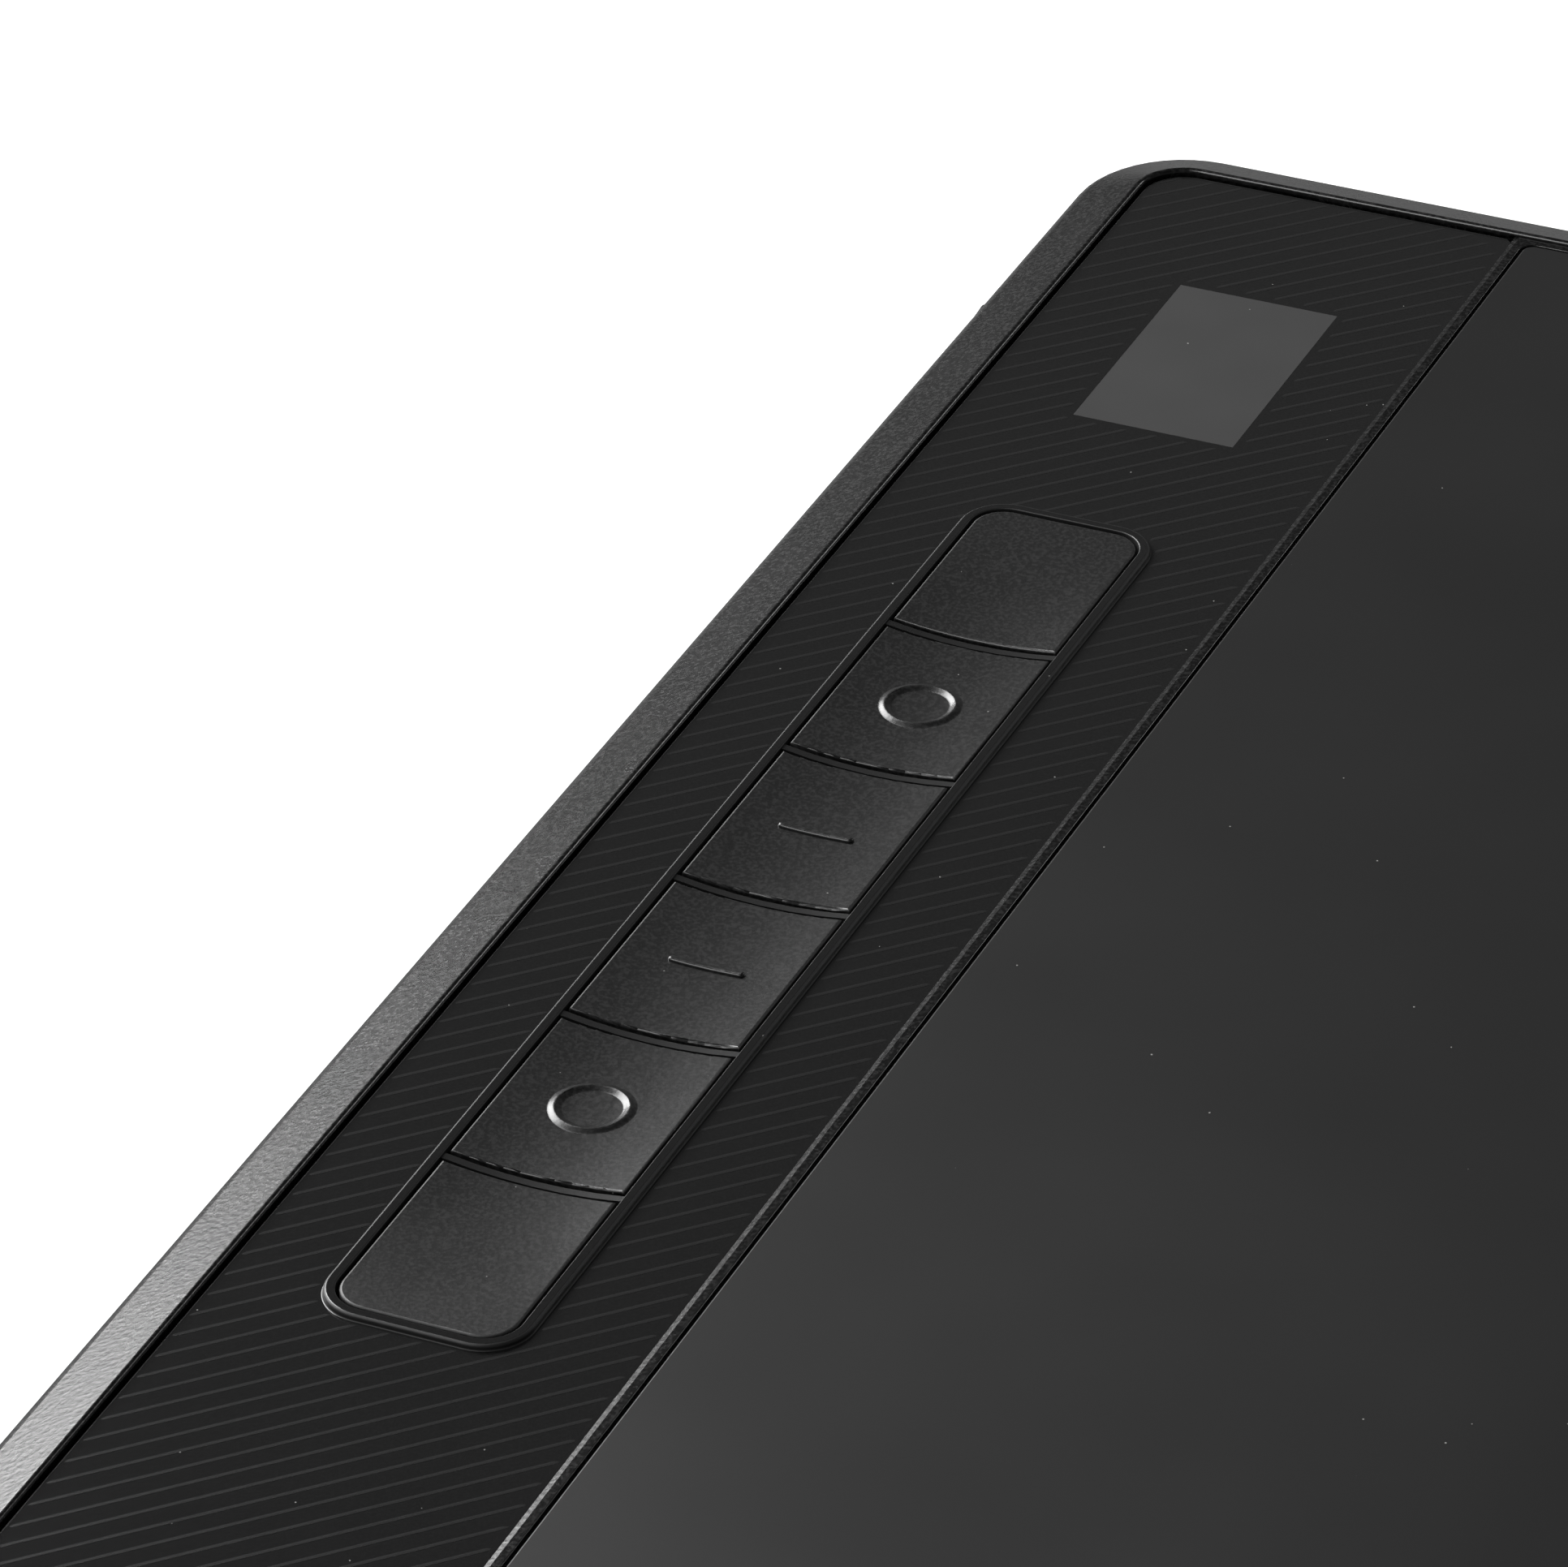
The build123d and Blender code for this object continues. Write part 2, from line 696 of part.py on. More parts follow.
# Switch bodies under the keys, each with the well of its button
with BuildPart() as tact_switches:
    with BuildSketch(Plane.XY.offset(board_top)):
        with key_places:
            Rectangle(tact_size, tact_size)
    extrude(amount=tact_height)
    chamfer(tact_switches.edges().group_by(Axis.Z)[-1], tact_bevel)
    with BuildSketch(Plane.XY.offset(board_top + tact_floor)):
        with key_places:
            Circle(button_radius + button_clearance)
    extrude(amount=tact_height, mode=Mode.SUBTRACT)
save(tact_switches.part, "tact_switches")

# Drawing sheet and its adhesive
with BuildPart() as drawing_sheet:
    with BuildSketch(Plane.XY.offset(deck_top + sheet_glue)):
        with Locations((sheet_x, 0)):
            RectangleRounded(sheet_width, 2 * sheet_half, sheet_corner)
    extrude(amount=sheet_thickness)
    fillet(drawing_sheet.faces().sort_by(Axis.Z)[-1].edges(), sheet_edge_round)
save(drawing_sheet.part, "drawing_sheet")

with BuildPart() as sheet_adhesive:
    with BuildSketch(Plane.XY.offset(deck_top)):
        with Locations((sheet_x, 0)):
            RectangleRounded(
                sheet_width - 2 * glue_inset, 2 * (sheet_half - glue_inset), sheet_corner - glue_inset
            )
    extrude(amount=sheet_glue)
save(sheet_adhesive.part, "sheet_adhesive")

# Sensor board with its tail, the shield behind it and the foam that holds both up
with BuildPart() as sensor_board:
    with BuildSketch(Plane.XY.offset(sensor_bottom)):
        with Locations((sheet_x, 0)):
            RectangleRounded(sensor_width, sensor_depth, sensor_corner)
        with Locations((tail_left + tail_length / 2, tail_y)):
            Rectangle(tail_length, tail_width)
    extrude(amount=sensor_thickness)
save(sensor_board.part, "sensor_board")

with BuildPart() as shield_sheet:
    with BuildSketch(Plane.XY.offset(shield_bottom)):
        with Locations((sheet_x, 0)):
            RectangleRounded(sensor_width, sensor_depth, sensor_corner)
    extrude(amount=shield_thickness)
save(shield_sheet.part, "shield_sheet")

with BuildPart() as foam_pad:
    with BuildSketch(Plane.XY.offset(foam_bottom)):
        with Locations((sheet_x, 0)):
            Rectangle(sensor_width - 2 * foam_inset, sensor_depth - 2 * foam_inset)
    extrude(amount=foam_thickness)
save(foam_pad.part, "foam_pad")

# Circuit board under the keys
with BuildPart() as key_board:
    with BuildSketch(Plane.XY.offset(board_level)):
        with Locations((key_x, 0)):
            RectangleRounded(key_board_width, key_board_length, board_corner)
        with board_screw_places:
            Circle(board_screw_radius + fit, mode=Mode.SUBTRACT)
    extrude(amount=board_thickness)
save(key_board.part, "key_board")

# Main board, notched for the cable socket, and its chips
with BuildPart() as main_board:
    with BuildSketch(Plane.XY.offset(board_level)):
        with Locations((main_board_x, main_board_y)):
            RectangleRounded(main_board_width, main_board_length, board_corner)
        with Locations((socket_end + socket_clearance, socket_y)):
            Rectangle(
                socket_depth + socket_clearance,
                socket_width + 2 * socket_clearance,
                align=(Align.MAX, Align.CENTER),
                mode=Mode.SUBTRACT,
            )
        with board_screw_places:
            Circle(board_screw_radius + fit, mode=Mode.SUBTRACT)
    extrude(amount=board_thickness)
save(main_board.part, "main_board")

with BuildPart() as board_chips:
    for chip_x, chip_y, chip_z, share_x, share_y in chips:
        with BuildSketch(Plane.XY.offset(board_top)):
            with Locations(
                (main_board_x + share_x * main_board_width, main_board_y + share_y * main_board_length)
            ):
                Rectangle(chip_x, chip_y)
        extrude(amount=chip_z)
save(board_chips.part, "board_chips")

# Cable socket: a drawn metal tube, with wings on the board, round a tongue on its block
with BuildPart() as cable_socket:
    with BuildSketch(Plane.YZ.offset(socket_mouth)):
        with Locations((socket_y, board_top)):
            SlotOverall(socket_width, socket_height)
            SlotOverall(
                socket_width - 2 * socket_wall, socket_height - 2 * socket_wall, mode=Mode.SUBTRACT
            )
    extrude(amount=socket_depth)
    with BuildSketch(Plane.XY.offset(board_top)):
        with Locations((socket_end - wing_from_back - wing_length / 2, socket_y)):
            Rectangle(wing_length, socket_width + 2 * wing_width)
            Rectangle(wing_length, socket_width - 2 * socket_wall, mode=Mode.SUBTRACT)
    extrude(amount=wing_thickness)
save(cable_socket.part, "cable_socket")

with BuildPart() as socket_tongue:
    with BuildSketch(Plane.YZ.offset(socket_end)):
        with Locations((socket_y, board_top)):
            SlotOverall(
                socket_width - 2 * (socket_wall + fit), socket_height - 2 * (socket_wall + fit)
            )
    extrude(amount=-socket_back)
    with BuildSketch(Plane.YZ.offset(socket_end - socket_back)):
        with Locations((socket_y, board_top)):
            Rectangle(tongue_width, tongue_thickness)
    extrude(amount=-tongue_length)
save(socket_tongue.part, "socket_tongue")

# Power switch: body with a window, the lever in it, and the knob that carries the lever along
with BuildPart() as power_switch:
    with BuildSketch(Plane.YZ.offset(switch_left)):
        with Locations((slot_y, lever_z)):
            Rectangle(switch_length, switch_height)
    extrude(amount=switch_width)
    with BuildSketch(Plane.YZ.offset(switch_left)):
        with Locations((slot_y, lever_z)):
            Rectangle(lever_width + knob_travel + 2 * running_gap, lever_height + 2 * running_gap)
    extrude(amount=lever_bury + running_gap, mode=Mode.SUBTRACT)
save(power_switch.part, "power_switch")

with BuildPart() as switch_lever:
    with BuildSketch(Plane.YZ.offset(flange_x + flange_thickness)):
        with Locations((knob_y, lever_z)):
            Rectangle(lever_width, lever_height)
    extrude(amount=switch_left + lever_bury - flange_x - flange_thickness)
save(switch_lever.part, "switch_lever")

with BuildPart() as power_knob:
    with BuildSketch(Plane.XY.offset(lever_z - knob_height / 2)):
        with BuildLine():
            Polyline(
                (flange_x, knob_end),
                (-half_width - knob_proud, knob_end),
                (-half_width - knob_toe, knob_end - knob_length),
                (flange_x, knob_end - knob_length),
                close=True,
            )
        make_face()
    extrude(amount=knob_height)
    fillet(power_knob.faces().sort_by(Axis.X)[0].edges(), knob_round)
    with BuildSketch(Plane.YZ.offset(flange_x)):
        with Locations((knob_y, lever_z)):
            Rectangle(flange_length, knob_height + 2 * flange_rise)
    extrude(amount=flange_thickness)
    with BuildSketch(Plane.YZ.offset(flange_x + flange_thickness)):
        with Locations((knob_y, lever_z)):
            with GridLocations(lever_width + 2 * running_gap + prong_width, 0, 2, 1):
                Rectangle(prong_width, lever_height)
    extrude(amount=prong_reach)
save(power_knob.part, "power_knob")

# Battery: a flat cell with rounded sides
with BuildPart() as battery:
    with BuildSketch(Plane.XY.offset(base_top)):
        with Locations((key_x, battery_y)):
            Rectangle(battery_width, battery_length)
    extrude(amount=battery_thickness)
    fillet(battery.edges().filter_by(Axis.Y), battery_round)
save(battery.part, "battery")

# Battery leads: each corner of their route has the widest arc that its two runs allow
lead_radii = []
for before, corner, after in zip(lead_route, lead_route[1:], lead_route[2:]):
    run_in = Vector(corner) - Vector(before)
    run_out = Vector(after) - Vector(corner)
    half_turn = radians(run_in.get_angle(run_out)) / 2
    lead_radii.append(arc_share * min(run_in.length, run_out.length) / tan(half_turn))
print("Radii of the battery leads:", [round(radius, 1) for radius in lead_radii])
with BuildPart() as battery_leads:
    for side in (-1, 1):
        with BuildLine(Plane.XY.offset(lead_z)) as lead_line:
            FilletPolyline(
                [(x + side * lead_spacing / 2, y) for x, y in lead_route], radius=lead_radii
            )
        with BuildSketch(Plane.XZ.offset(-battery_end)):
            with Locations((exit_x + side * lead_spacing / 2, lead_z)):
                Circle(lead_diameter / 2)
        sweep(path=lead_line.wire())
save(battery_leads.part, "battery_leads")

with BuildPart() as lead_plug:
    with BuildSketch(Plane.XY.offset(board_top)):
        with Locations((lane_x, plug_start + plug_length / 2)):
            Rectangle(plug_width, plug_length)
    extrude(amount=plug_height)
save(lead_plug.part, "lead_plug")

# Flat cables: one over the gap between the boards, one up to the sensor's tail
with BuildPart() as key_flex:
    with BuildSketch(Plane.YZ.offset(key_flex_x - key_flex_width / 2)):
        with BuildLine():
            flex_z = board_top + flex_thickness / 2
            FilletPolyline(
                (key_board_end - flex_overlap, flex_z),
                (key_board_end - flex_ease, flex_z),
                ((key_board_end + main_board_start) / 2, flex_z + flex_arch),
                (main_board_start + flex_ease, flex_z),
                (main_board_start + flex_overlap, flex_z),
                radius=flex_bend,
            )
        trace(line_width=flex_thickness)
    extrude(amount=key_flex_width)
save(key_flex.part, "key_flex")

with BuildPart() as sensor_flex:
    with BuildSketch(Plane.XZ.offset(-tail_y - sensor_flex_width / 2)):
        with BuildLine():
            FilletPolyline(
                (main_board_right - flex_overlap, board_top + flex_thickness / 2),
                (main_board_right + flex_ease, board_top + flex_thickness / 2),
                (tail_left - flex_ease, sensor_bottom - flex_thickness / 2),
                (tail_left + flex_overlap, sensor_bottom - flex_thickness / 2),
                radius=flex_bend,
            )
        trace(line_width=flex_thickness)
    extrude(amount=sensor_flex_width)
save(sensor_flex.part, "sensor_flex")

# Feet with softened soles
with BuildPart() as rubber_feet:
    with BuildSketch(Plane.XY):
        with foot_places:
            SlotOverall(foot_length, foot_width)
    extrude(amount=foot_stand + foot_recess)
    fillet(rubber_feet.edges().group_by(Axis.Z)[0], foot_round)
save(rubber_feet.part, "rubber_feet")

# Case screws, their heads sunk in the bottom shell
with BuildPart() as case_screws:
    with BuildSketch(Plane.XY.offset(screw_seat - screw_head_height)):
        with screw_places:
            Circle(screw_head_radius)
    extrude(amount=screw_head_height)
    with BuildSketch(Plane.XY.offset(screw_seat)):
        with screw_places:
            Circle(screw_radius)
    extrude(amount=screw_length)
    with BuildSketch(Plane.XY.offset(screw_seat - screw_head_height)):
        with screw_places:
            Rectangle(drive_length, drive_width)
            Rectangle(drive_width, drive_length)
    extrude(amount=drive_depth, mode=Mode.SUBTRACT)
save(case_screws.part, "case_screws")

# Screws of both boards
with BuildPart() as board_screws:
    with BuildSketch(Plane.XY.offset(board_top)):
        with board_screw_places:
            Circle(board_screw_head)
    extrude(amount=board_screw_head_height)
    with BuildSketch(Plane.XY.offset(board_top)):
        with board_screw_places:
            Circle(board_screw_radius)
    extrude(amount=-board_screw_length)
save(board_screws.part, "board_screws")
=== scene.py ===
import json
import math

import bmesh
import bpy
from mathutils import Matrix, Vector


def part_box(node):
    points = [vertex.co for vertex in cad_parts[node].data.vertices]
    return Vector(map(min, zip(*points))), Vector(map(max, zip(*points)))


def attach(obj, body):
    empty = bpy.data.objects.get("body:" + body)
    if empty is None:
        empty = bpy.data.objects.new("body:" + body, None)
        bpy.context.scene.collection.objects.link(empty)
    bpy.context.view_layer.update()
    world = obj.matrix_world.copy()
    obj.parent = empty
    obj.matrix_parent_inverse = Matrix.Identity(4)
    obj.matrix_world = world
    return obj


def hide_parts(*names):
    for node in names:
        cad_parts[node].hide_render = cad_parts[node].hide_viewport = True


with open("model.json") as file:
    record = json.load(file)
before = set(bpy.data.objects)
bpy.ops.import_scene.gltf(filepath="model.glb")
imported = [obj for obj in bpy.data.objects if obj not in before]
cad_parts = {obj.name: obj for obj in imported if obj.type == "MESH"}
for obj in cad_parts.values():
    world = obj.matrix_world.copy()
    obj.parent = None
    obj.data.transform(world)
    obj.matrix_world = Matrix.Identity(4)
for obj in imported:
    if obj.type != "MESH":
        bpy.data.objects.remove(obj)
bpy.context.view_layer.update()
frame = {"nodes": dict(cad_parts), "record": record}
nodes = frame["nodes"]
mm = 0.001


def hexColour(code):
    # sRGB hex to the linear values that the shaders take
    parts = [int(code[i : i + 2], 16) / 255 for i in (1, 3, 5)]
    linear = [p / 12.92 if p <= 0.04045 else ((p + 0.055) / 1.055) ** 2.4 for p in parts]
    return (*linear, 1.0)


def addNode(tree, kind, inputs=None, **settings):
    # adds one node, sets its options, and fills or links its inputs
    node = tree.nodes.new(kind)
    for name, value in settings.items():
        setattr(node, name, value)
    for name, value in (inputs or {}).items():
        if isinstance(value, bpy.types.NodeSocket):
            tree.links.new(value, node.inputs[name])
        else:
            node.inputs[name].default_value = value
    return node


def addObject(name, data):
    # adds one object to the scene
    thing = bpy.data.objects.new(name, data)
    bpy.context.scene.collection.objects.link(thing)
    return thing


def takeMesh(holder):
    # the mesh that a holder's modifier makes; the holder itself goes
    graph = bpy.context.evaluated_depsgraph_get()
    mesh = bpy.data.meshes.new_from_object(holder.evaluated_get(graph))
    bpy.data.objects.remove(holder)
    return mesh


# Camera, at the photograph's angle on the key column
cameraPlan = {
    "azimuth": 24.794,  # degrees, like the next two
    "elevation": 32.366,
    "roll": -1.185,
    "lens": 210.07,  # mm
    "sensor": 36,  # mm
    "distance": 0.63126,  # metres, like the next two
    "aim": (-0.16165, 0.0134, 0.00905),
    "clip": (0.01, 20),
}


def makeCamera(plan):
    angles = (plan["azimuth"], plan["elevation"], plan["roll"])
    azimuth, elevation, roll = (math.radians(angle) for angle in angles)
    back = Vector(
        (
            math.sin(azimuth) * math.cos(elevation),
            -math.cos(azimuth) * math.cos(elevation),
            math.sin(elevation),
        )
    )
    level = Vector((math.cos(azimuth), math.sin(azimuth), 0))
    up = back.cross(level)
    right = math.cos(roll) * level + math.sin(roll) * up
    data = bpy.data.cameras.new("camera")
    data.lens = plan["lens"]
    data.sensor_width = plan["sensor"]
    data.clip_start, data.clip_end = plan["clip"]
    camera = addObject("camera", data)
    turn = Matrix((right, back.cross(right), back)).transposed()
    place = Vector(plan["aim"]) + back * plan["distance"]
    camera.matrix_world = Matrix.Translation(place) @ turn.to_4x4()
    bpy.context.scene.camera = camera


bpy.context.scene.view_settings.view_transform = "Standard"
makeCamera(cameraPlan)
print("camera done")


# Studio: white paper on the floor, a dim room, a wide soft box at the back left that shines along
# the border, a weak fill at the front left and a small box at the back right
studioPlan = {
    "paperColour": "#e6e6e6",
    "paperReach": 8.0,  # metres
    "paperLift": 0.4,  # what the eye sees on top of the light that falls on the paper
    "mirroredPaper": "#727272",  # what satin plastic picks up of the paper and the table round it
    "roomAtHorizon": 0.15,
    "roomAbove": 0.01,
    "roomTop": 0.6,  # height at which the room has gone dim, as a share of straight up
    "mirroredShare": 0.06,  # of the white backdrop, so that dark plastic isn't veiled by it
}

# Each soft box: where it stands, where it looks and its two sides in metres, and how bright its
# face is
softBoxes = {
    "key": {
        "place": (-0.875, 0.318, 0.487), "aim": (-0.165, -0.03, 0.009),
        "sides": (0.6, 0.6), "face": 14.6,
    },
    "front": {
        "place": (-0.83, -1.02, 1.46), "aim": (-0.15, 0, 0),
        "sides": (0.9, 0.9), "face": 6.0,
    },
    "back": {
        "place": (0.65, 1.155, 0.513), "aim": (-0.15, 0, 0),
        "sides": (0.22, 0.3), "face": 7.0,
    },
}


def makeStudio(plan, boxes):
    paperMesh = bpy.data.meshes.new("floor")
    reach = plan["paperReach"]
    corners = [(-reach, -reach, 0), (reach, -reach, 0), (reach, reach, 0), (-reach, reach, 0)]
    paperMesh.from_pydata(corners, [], [(0, 1, 2, 3)])
    floor = addObject("floor", paperMesh)
    paper = bpy.data.materials.new("studioPaper")
    paper.use_nodes = True
    world = bpy.data.worlds.new("studio")
    bpy.context.scene.world = world
    world.use_nodes = True

    # how far a ray sees the bright paper and backdrop: in full, by the mirrored share, or not
    shown = {}
    for tree in (paper.node_tree, world.node_tree):
        tree.nodes.clear()
        rays = addNode(tree, "ShaderNodeLightPath").outputs
        mirrored = addNode(
            tree,
            "ShaderNodeMath",
            {0: rays["Is Glossy Ray"], 1: plan["mirroredShare"]},
            operation="MULTIPLY",
        )
        clear = addNode(
            tree,
            "ShaderNodeMath",
            {0: rays["Is Camera Ray"], 1: rays["Is Transmission Ray"]},
            operation="MAXIMUM",
        )
        shown[tree] = addNode(
            tree,
            "ShaderNodeMath",
            {0: clear.outputs[0], 1: mirrored.outputs[0]},
            operation="MAXIMUM",
        ).outputs[0]

    tree = paper.node_tree
    dim = addNode(tree, "ShaderNodeBsdfDiffuse", {"Color": hexColour(plan["mirroredPaper"])})
    white = addNode(tree, "ShaderNodeBsdfDiffuse", {"Color": hexColour(plan["paperColour"])})
    lift = addNode(tree, "ShaderNodeEmission", {"Strength": plan["paperLift"]})
    lifted = addNode(tree, "ShaderNodeAddShader", {0: white.outputs[0], 1: lift.outputs[0]})
    surface = addNode(
        tree, "ShaderNodeMixShader", {0: shown[tree], 1: dim.outputs[0], 2: lifted.outputs[0]}
    )
    addNode(tree, "ShaderNodeOutputMaterial", {"Surface": surface.outputs[0]})
    paperMesh.materials.append(paper)

    tree = world.node_tree
    towards = addNode(tree, "ShaderNodeTexCoord").outputs["Generated"]
    height = addNode(tree, "ShaderNodeSeparateXYZ", {0: towards}).outputs["Z"]
    strength = addNode(
        tree,
        "ShaderNodeMapRange",
        {
            "Value": height,
            "From Min": 0.0,
            "From Max": plan["roomTop"],
            "To Min": plan["roomAtHorizon"],
            "To Max": plan["roomAbove"],
        },
    )
    room = addNode(tree, "ShaderNodeBackground", {"Strength": strength.outputs[0]})
    backdrop = addNode(tree, "ShaderNodeBackground", {"Color": (1, 1, 1, 1), "Strength": 1.0})
    surface = addNode(
        tree, "ShaderNodeMixShader", {0: shown[tree], 1: room.outputs[0], 2: backdrop.outputs[0]}
    )
    addNode(tree, "ShaderNodeOutputWorld", {"Surface": surface.outputs[0]})

    for name, box in boxes.items():
        data = bpy.data.lights.new(name + "Box", "AREA")
        data.shape = "RECTANGLE"
        data.size, data.size_y = box["sides"]
        data.energy = box["face"] * math.pi * data.size * data.size_y
        lamp = addObject(name + "Box", data)
        look = Vector(box["aim"]) - Vector(box["place"])
        turn = look.to_track_quat("-Z", "Y").to_matrix().to_4x4()
        lamp.matrix_world = Matrix.Translation(box["place"]) @ turn


makeStudio(studioPlan, softBoxes)
print("studio done")


noiseRange = (0.3, 0.7)  # the values between which a noise mostly stays


def startMaterial(name):
    material = bpy.data.materials.new(name)
    material.use_nodes = True
    tree = material.node_tree
    tree.nodes.clear()
    place = addNode(tree, "ShaderNodeTexCoord").outputs["Object"]
    return material, tree, place


def unevenGloss(tree, pattern, plan):
    # the roughness, which a pattern moves by the spread to either side
    return addNode(
        tree,
        "ShaderNodeMapRange",
        {
            "Value": pattern,
            "From Min": noiseRange[0],
            "From Max": noiseRange[1],
            "To Min": plan["roughness"] - plan["spread"],
            "To Max": plan["roughness"] + plan["spread"],
        },
    ).outputs[0]


def endMaterial(material, inputs):
    tree = material.node_tree
    surface = addNode(tree, "ShaderNodeBsdfPrincipled", inputs)
    addNode(tree, "ShaderNodeOutputMaterial", {"Surface": surface.outputs[0]})
    return material


# Moulded plastics. Grain is the size of the mould's texture in mm and depth its height in mm,
# cloud the size of the slow changes of gloss, dust the distance between stray specks and speck
# their size, and pitGloss what the grain's paler places add to the roughness
plasticPlan = {
    # textured ABS from a spark-eroded mould: satin, salt and pepper where it shines; the paler
    # grain in its colour is partly the grain's own tone and partly a painted glint of that shine.
    # The real grain is finer than 0.1 mm; it is drawn about three times as coarse, so that the
    # picture can show it
    "casing_plastic": {
        "name": "texturedAbs", "colour": "#010101", "paler": "#1b1b1b",
        "roughness": 0.223, "spread": 0.004, "ior": 1.54, "grain": 0.3, "depth": 0.006,
        "pitGloss": 0.05, "cloud": 9.0, "dust": 3.2, "speck": 0.05,
    },
    # the panel's smooth ABS: near black, with hardly any grain
    "panel_plastic": {
        "name": "smoothAbs", "colour": "#191919", "paler": "#1d1d1d",
        "roughness": 0.11, "spread": 0.006, "ior": 1.5, "grain": 0.12, "depth": 0.0006,
        "cloud": 7.0, "dust": 2.6, "speck": 0.06,
        "edges": "levels", "edgeDullness": 0.42,  # the mould leaves its rounded edges duller
    },
    # key caps: fine spark texture, worn a little smoother than the casing
    "key_plastic": {
        "name": "keyCapAbs", "colour": "#131313", "paler": "#242424",
        "roughness": 0.302, "spread": 0.008, "ior": 1.54, "grain": 0.28, "depth": 0.005,
        "pitGloss": 0.016, "cloud": 6.0, "dust": 2.4, "speck": 0.06,
        "edges": "outline", "edgeDullness": 0.25,
    },
    # the knob: the keys' ABS from a finer mould
    "knob_plastic": {
        "name": "knobAbs", "colour": "#101010", "paler": "#181818",
        "roughness": 0.28, "spread": 0.03, "ior": 1.54, "grain": 0.13, "depth": 0.004,
        "cloud": 6.0, "dust": 3.0, "speck": 0.05,
    },
    # a bare plate of matte grey ink on polycarbonate
    "badge": {
        "name": "greyInkOnPolycarbonate", "colour": "#363636", "paler": "#383838",
        "roughness": 0.4, "spread": 0.02, "ior": 1.5, "grain": 0.1, "depth": 0.0006,
        "cloud": 8.0, "dust": 2.6, "speck": 0.07,
    },
    # the drawing sheet: PET film with an etched, paper-like tooth
    "sheet": {
        "name": "etchedPet", "colour": "#171717", "paler": "#181818",
        "roughness": 0.356, "spread": 0.015, "ior": 1.5, "grain": 0.11, "depth": 0.0008,
        "cloud": 25.0, "dust": 3.6, "speck": 0.07,
    },
    # black nylon of the tongue and the plug, slightly waxy
    "insulator": {
        "name": "blackNylon", "colour": "#161616", "paler": "#1e1e1e",
        "roughness": 0.42, "spread": 0.05, "ior": 1.53, "grain": 0.15, "depth": 0.002,
        "cloud": 2.0, "dust": 3.0, "speck": 0.04,
    },
    # nylon of the switches' moving parts, a little paler
    "switch_button": {
        "name": "switchNylon", "colour": "#1b1b1b", "paler": "#242424",
        "roughness": 0.4, "spread": 0.05, "ior": 1.53, "grain": 0.12, "depth": 0.002,
        "cloud": 1.5, "dust": 3.0, "speck": 0.04,
    },
    # chips: epoxy with quartz filler, dull and faintly speckled
    "chip": {
        "name": "mouldedEpoxy", "colour": "#1a1a1b", "paler": "#262627",
        "roughness": 0.62, "spread": 0.08, "ior": 1.55, "grain": 0.09, "depth": 0.003,
        "cloud": 1.2, "dust": 2.0, "speck": 0.04,
    },
    # silicone rubber: soft black, scatters light, picks up lint
    "foot_rubber": {
        "name": "footRubber", "colour": "#141414", "paler": "#1f1f1f",
        "roughness": 0.72, "spread": 0.08, "ior": 1.43, "grain": 0.2, "depth": 0.006,
        "cloud": 3.0, "dust": 1.6, "speck": 0.06,
    },
    # lead insulation: PVC, shiny from extrusion
    "lead_jacket": {
        "name": "extrudedPvc", "colour": "#7d1511", "paler": "#93201a",
        "roughness": 0.36, "spread": 0.06, "ior": 1.53, "grain": 0.3, "depth": 0.002,
        "cloud": 2.5, "dust": 3.0, "speck": 0.04,
    },
}

# What all these plastics share
mouldPlan = {
    "detail": 2.0,
    "grainRoughness": 0.55,
    "pits": 0.6,  # to one grain, along a line
    # the grain's paler places are partly its own tone and partly painted glints
    "mottleAndGlint": (0.46, 0.62),  # values of the grain between which it turns paler
    "pitGloss": 0.01,  # where a plastic gives no other
    "dust": "#8c8c8a",
}

# The outline of the whole column of keys, and what it does to the gloss, in mm
columnPlan = {
    "lip": 0.9,  # of each key, hidden under the panel on its two long sides
    "corner": 2.35,
    "edge": 0.18,  # width of the keys' rounded edges
    "edgeFull": 0.7,  # share of that width, at its outer side, where the dullness is full
    "levelFade": (0.004, 0.014),  # heights off a level face over which the panel's dullness grows
    "webEnd": 0.2,  # how far the webs between the keys show past the keys' sides
    "webShare": 0.4,  # of the dullness of the panel's edges, left on the webs
}


def keyColumn(plan):
    # the middle of the whole column, and half its visible width and length
    low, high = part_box("key_6")[0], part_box("key_1")[1]
    middle = ((low[0] + high[0]) / 2, (low[1] + high[1]) / 2, 0.0)
    return middle, (high[0] - low[0]) / 2 - plan["lip"] * mm, (high[1] - low[1]) / 2


def pastRectangle(tree, place, middle, half):
    # how far a place lies outside a rectangle, seen from above
    offset = addNode(tree, "ShaderNodeVectorMath", {0: place, 1: middle}, operation="SUBTRACT")
    folded = addNode(tree, "ShaderNodeVectorMath", {0: offset.outputs[0]}, operation="ABSOLUTE")
    past = addNode(
        tree, "ShaderNodeVectorMath", {0: folded.outputs[0], 1: half}, operation="SUBTRACT"
    )
    outside = addNode(
        tree, "ShaderNodeVectorMath", {0: past.outputs[0], 1: (0, 0, 0)}, operation="MAXIMUM"
    )
    level = addNode(
        tree, "ShaderNodeVectorMath", {0: outside.outputs[0], 1: (1, 1, 0)}, operation="MULTIPLY"
    )
    length = addNode(tree, "ShaderNodeVectorMath", {0: level.outputs[0]}, operation="LENGTH")
    return length.outputs["Value"]


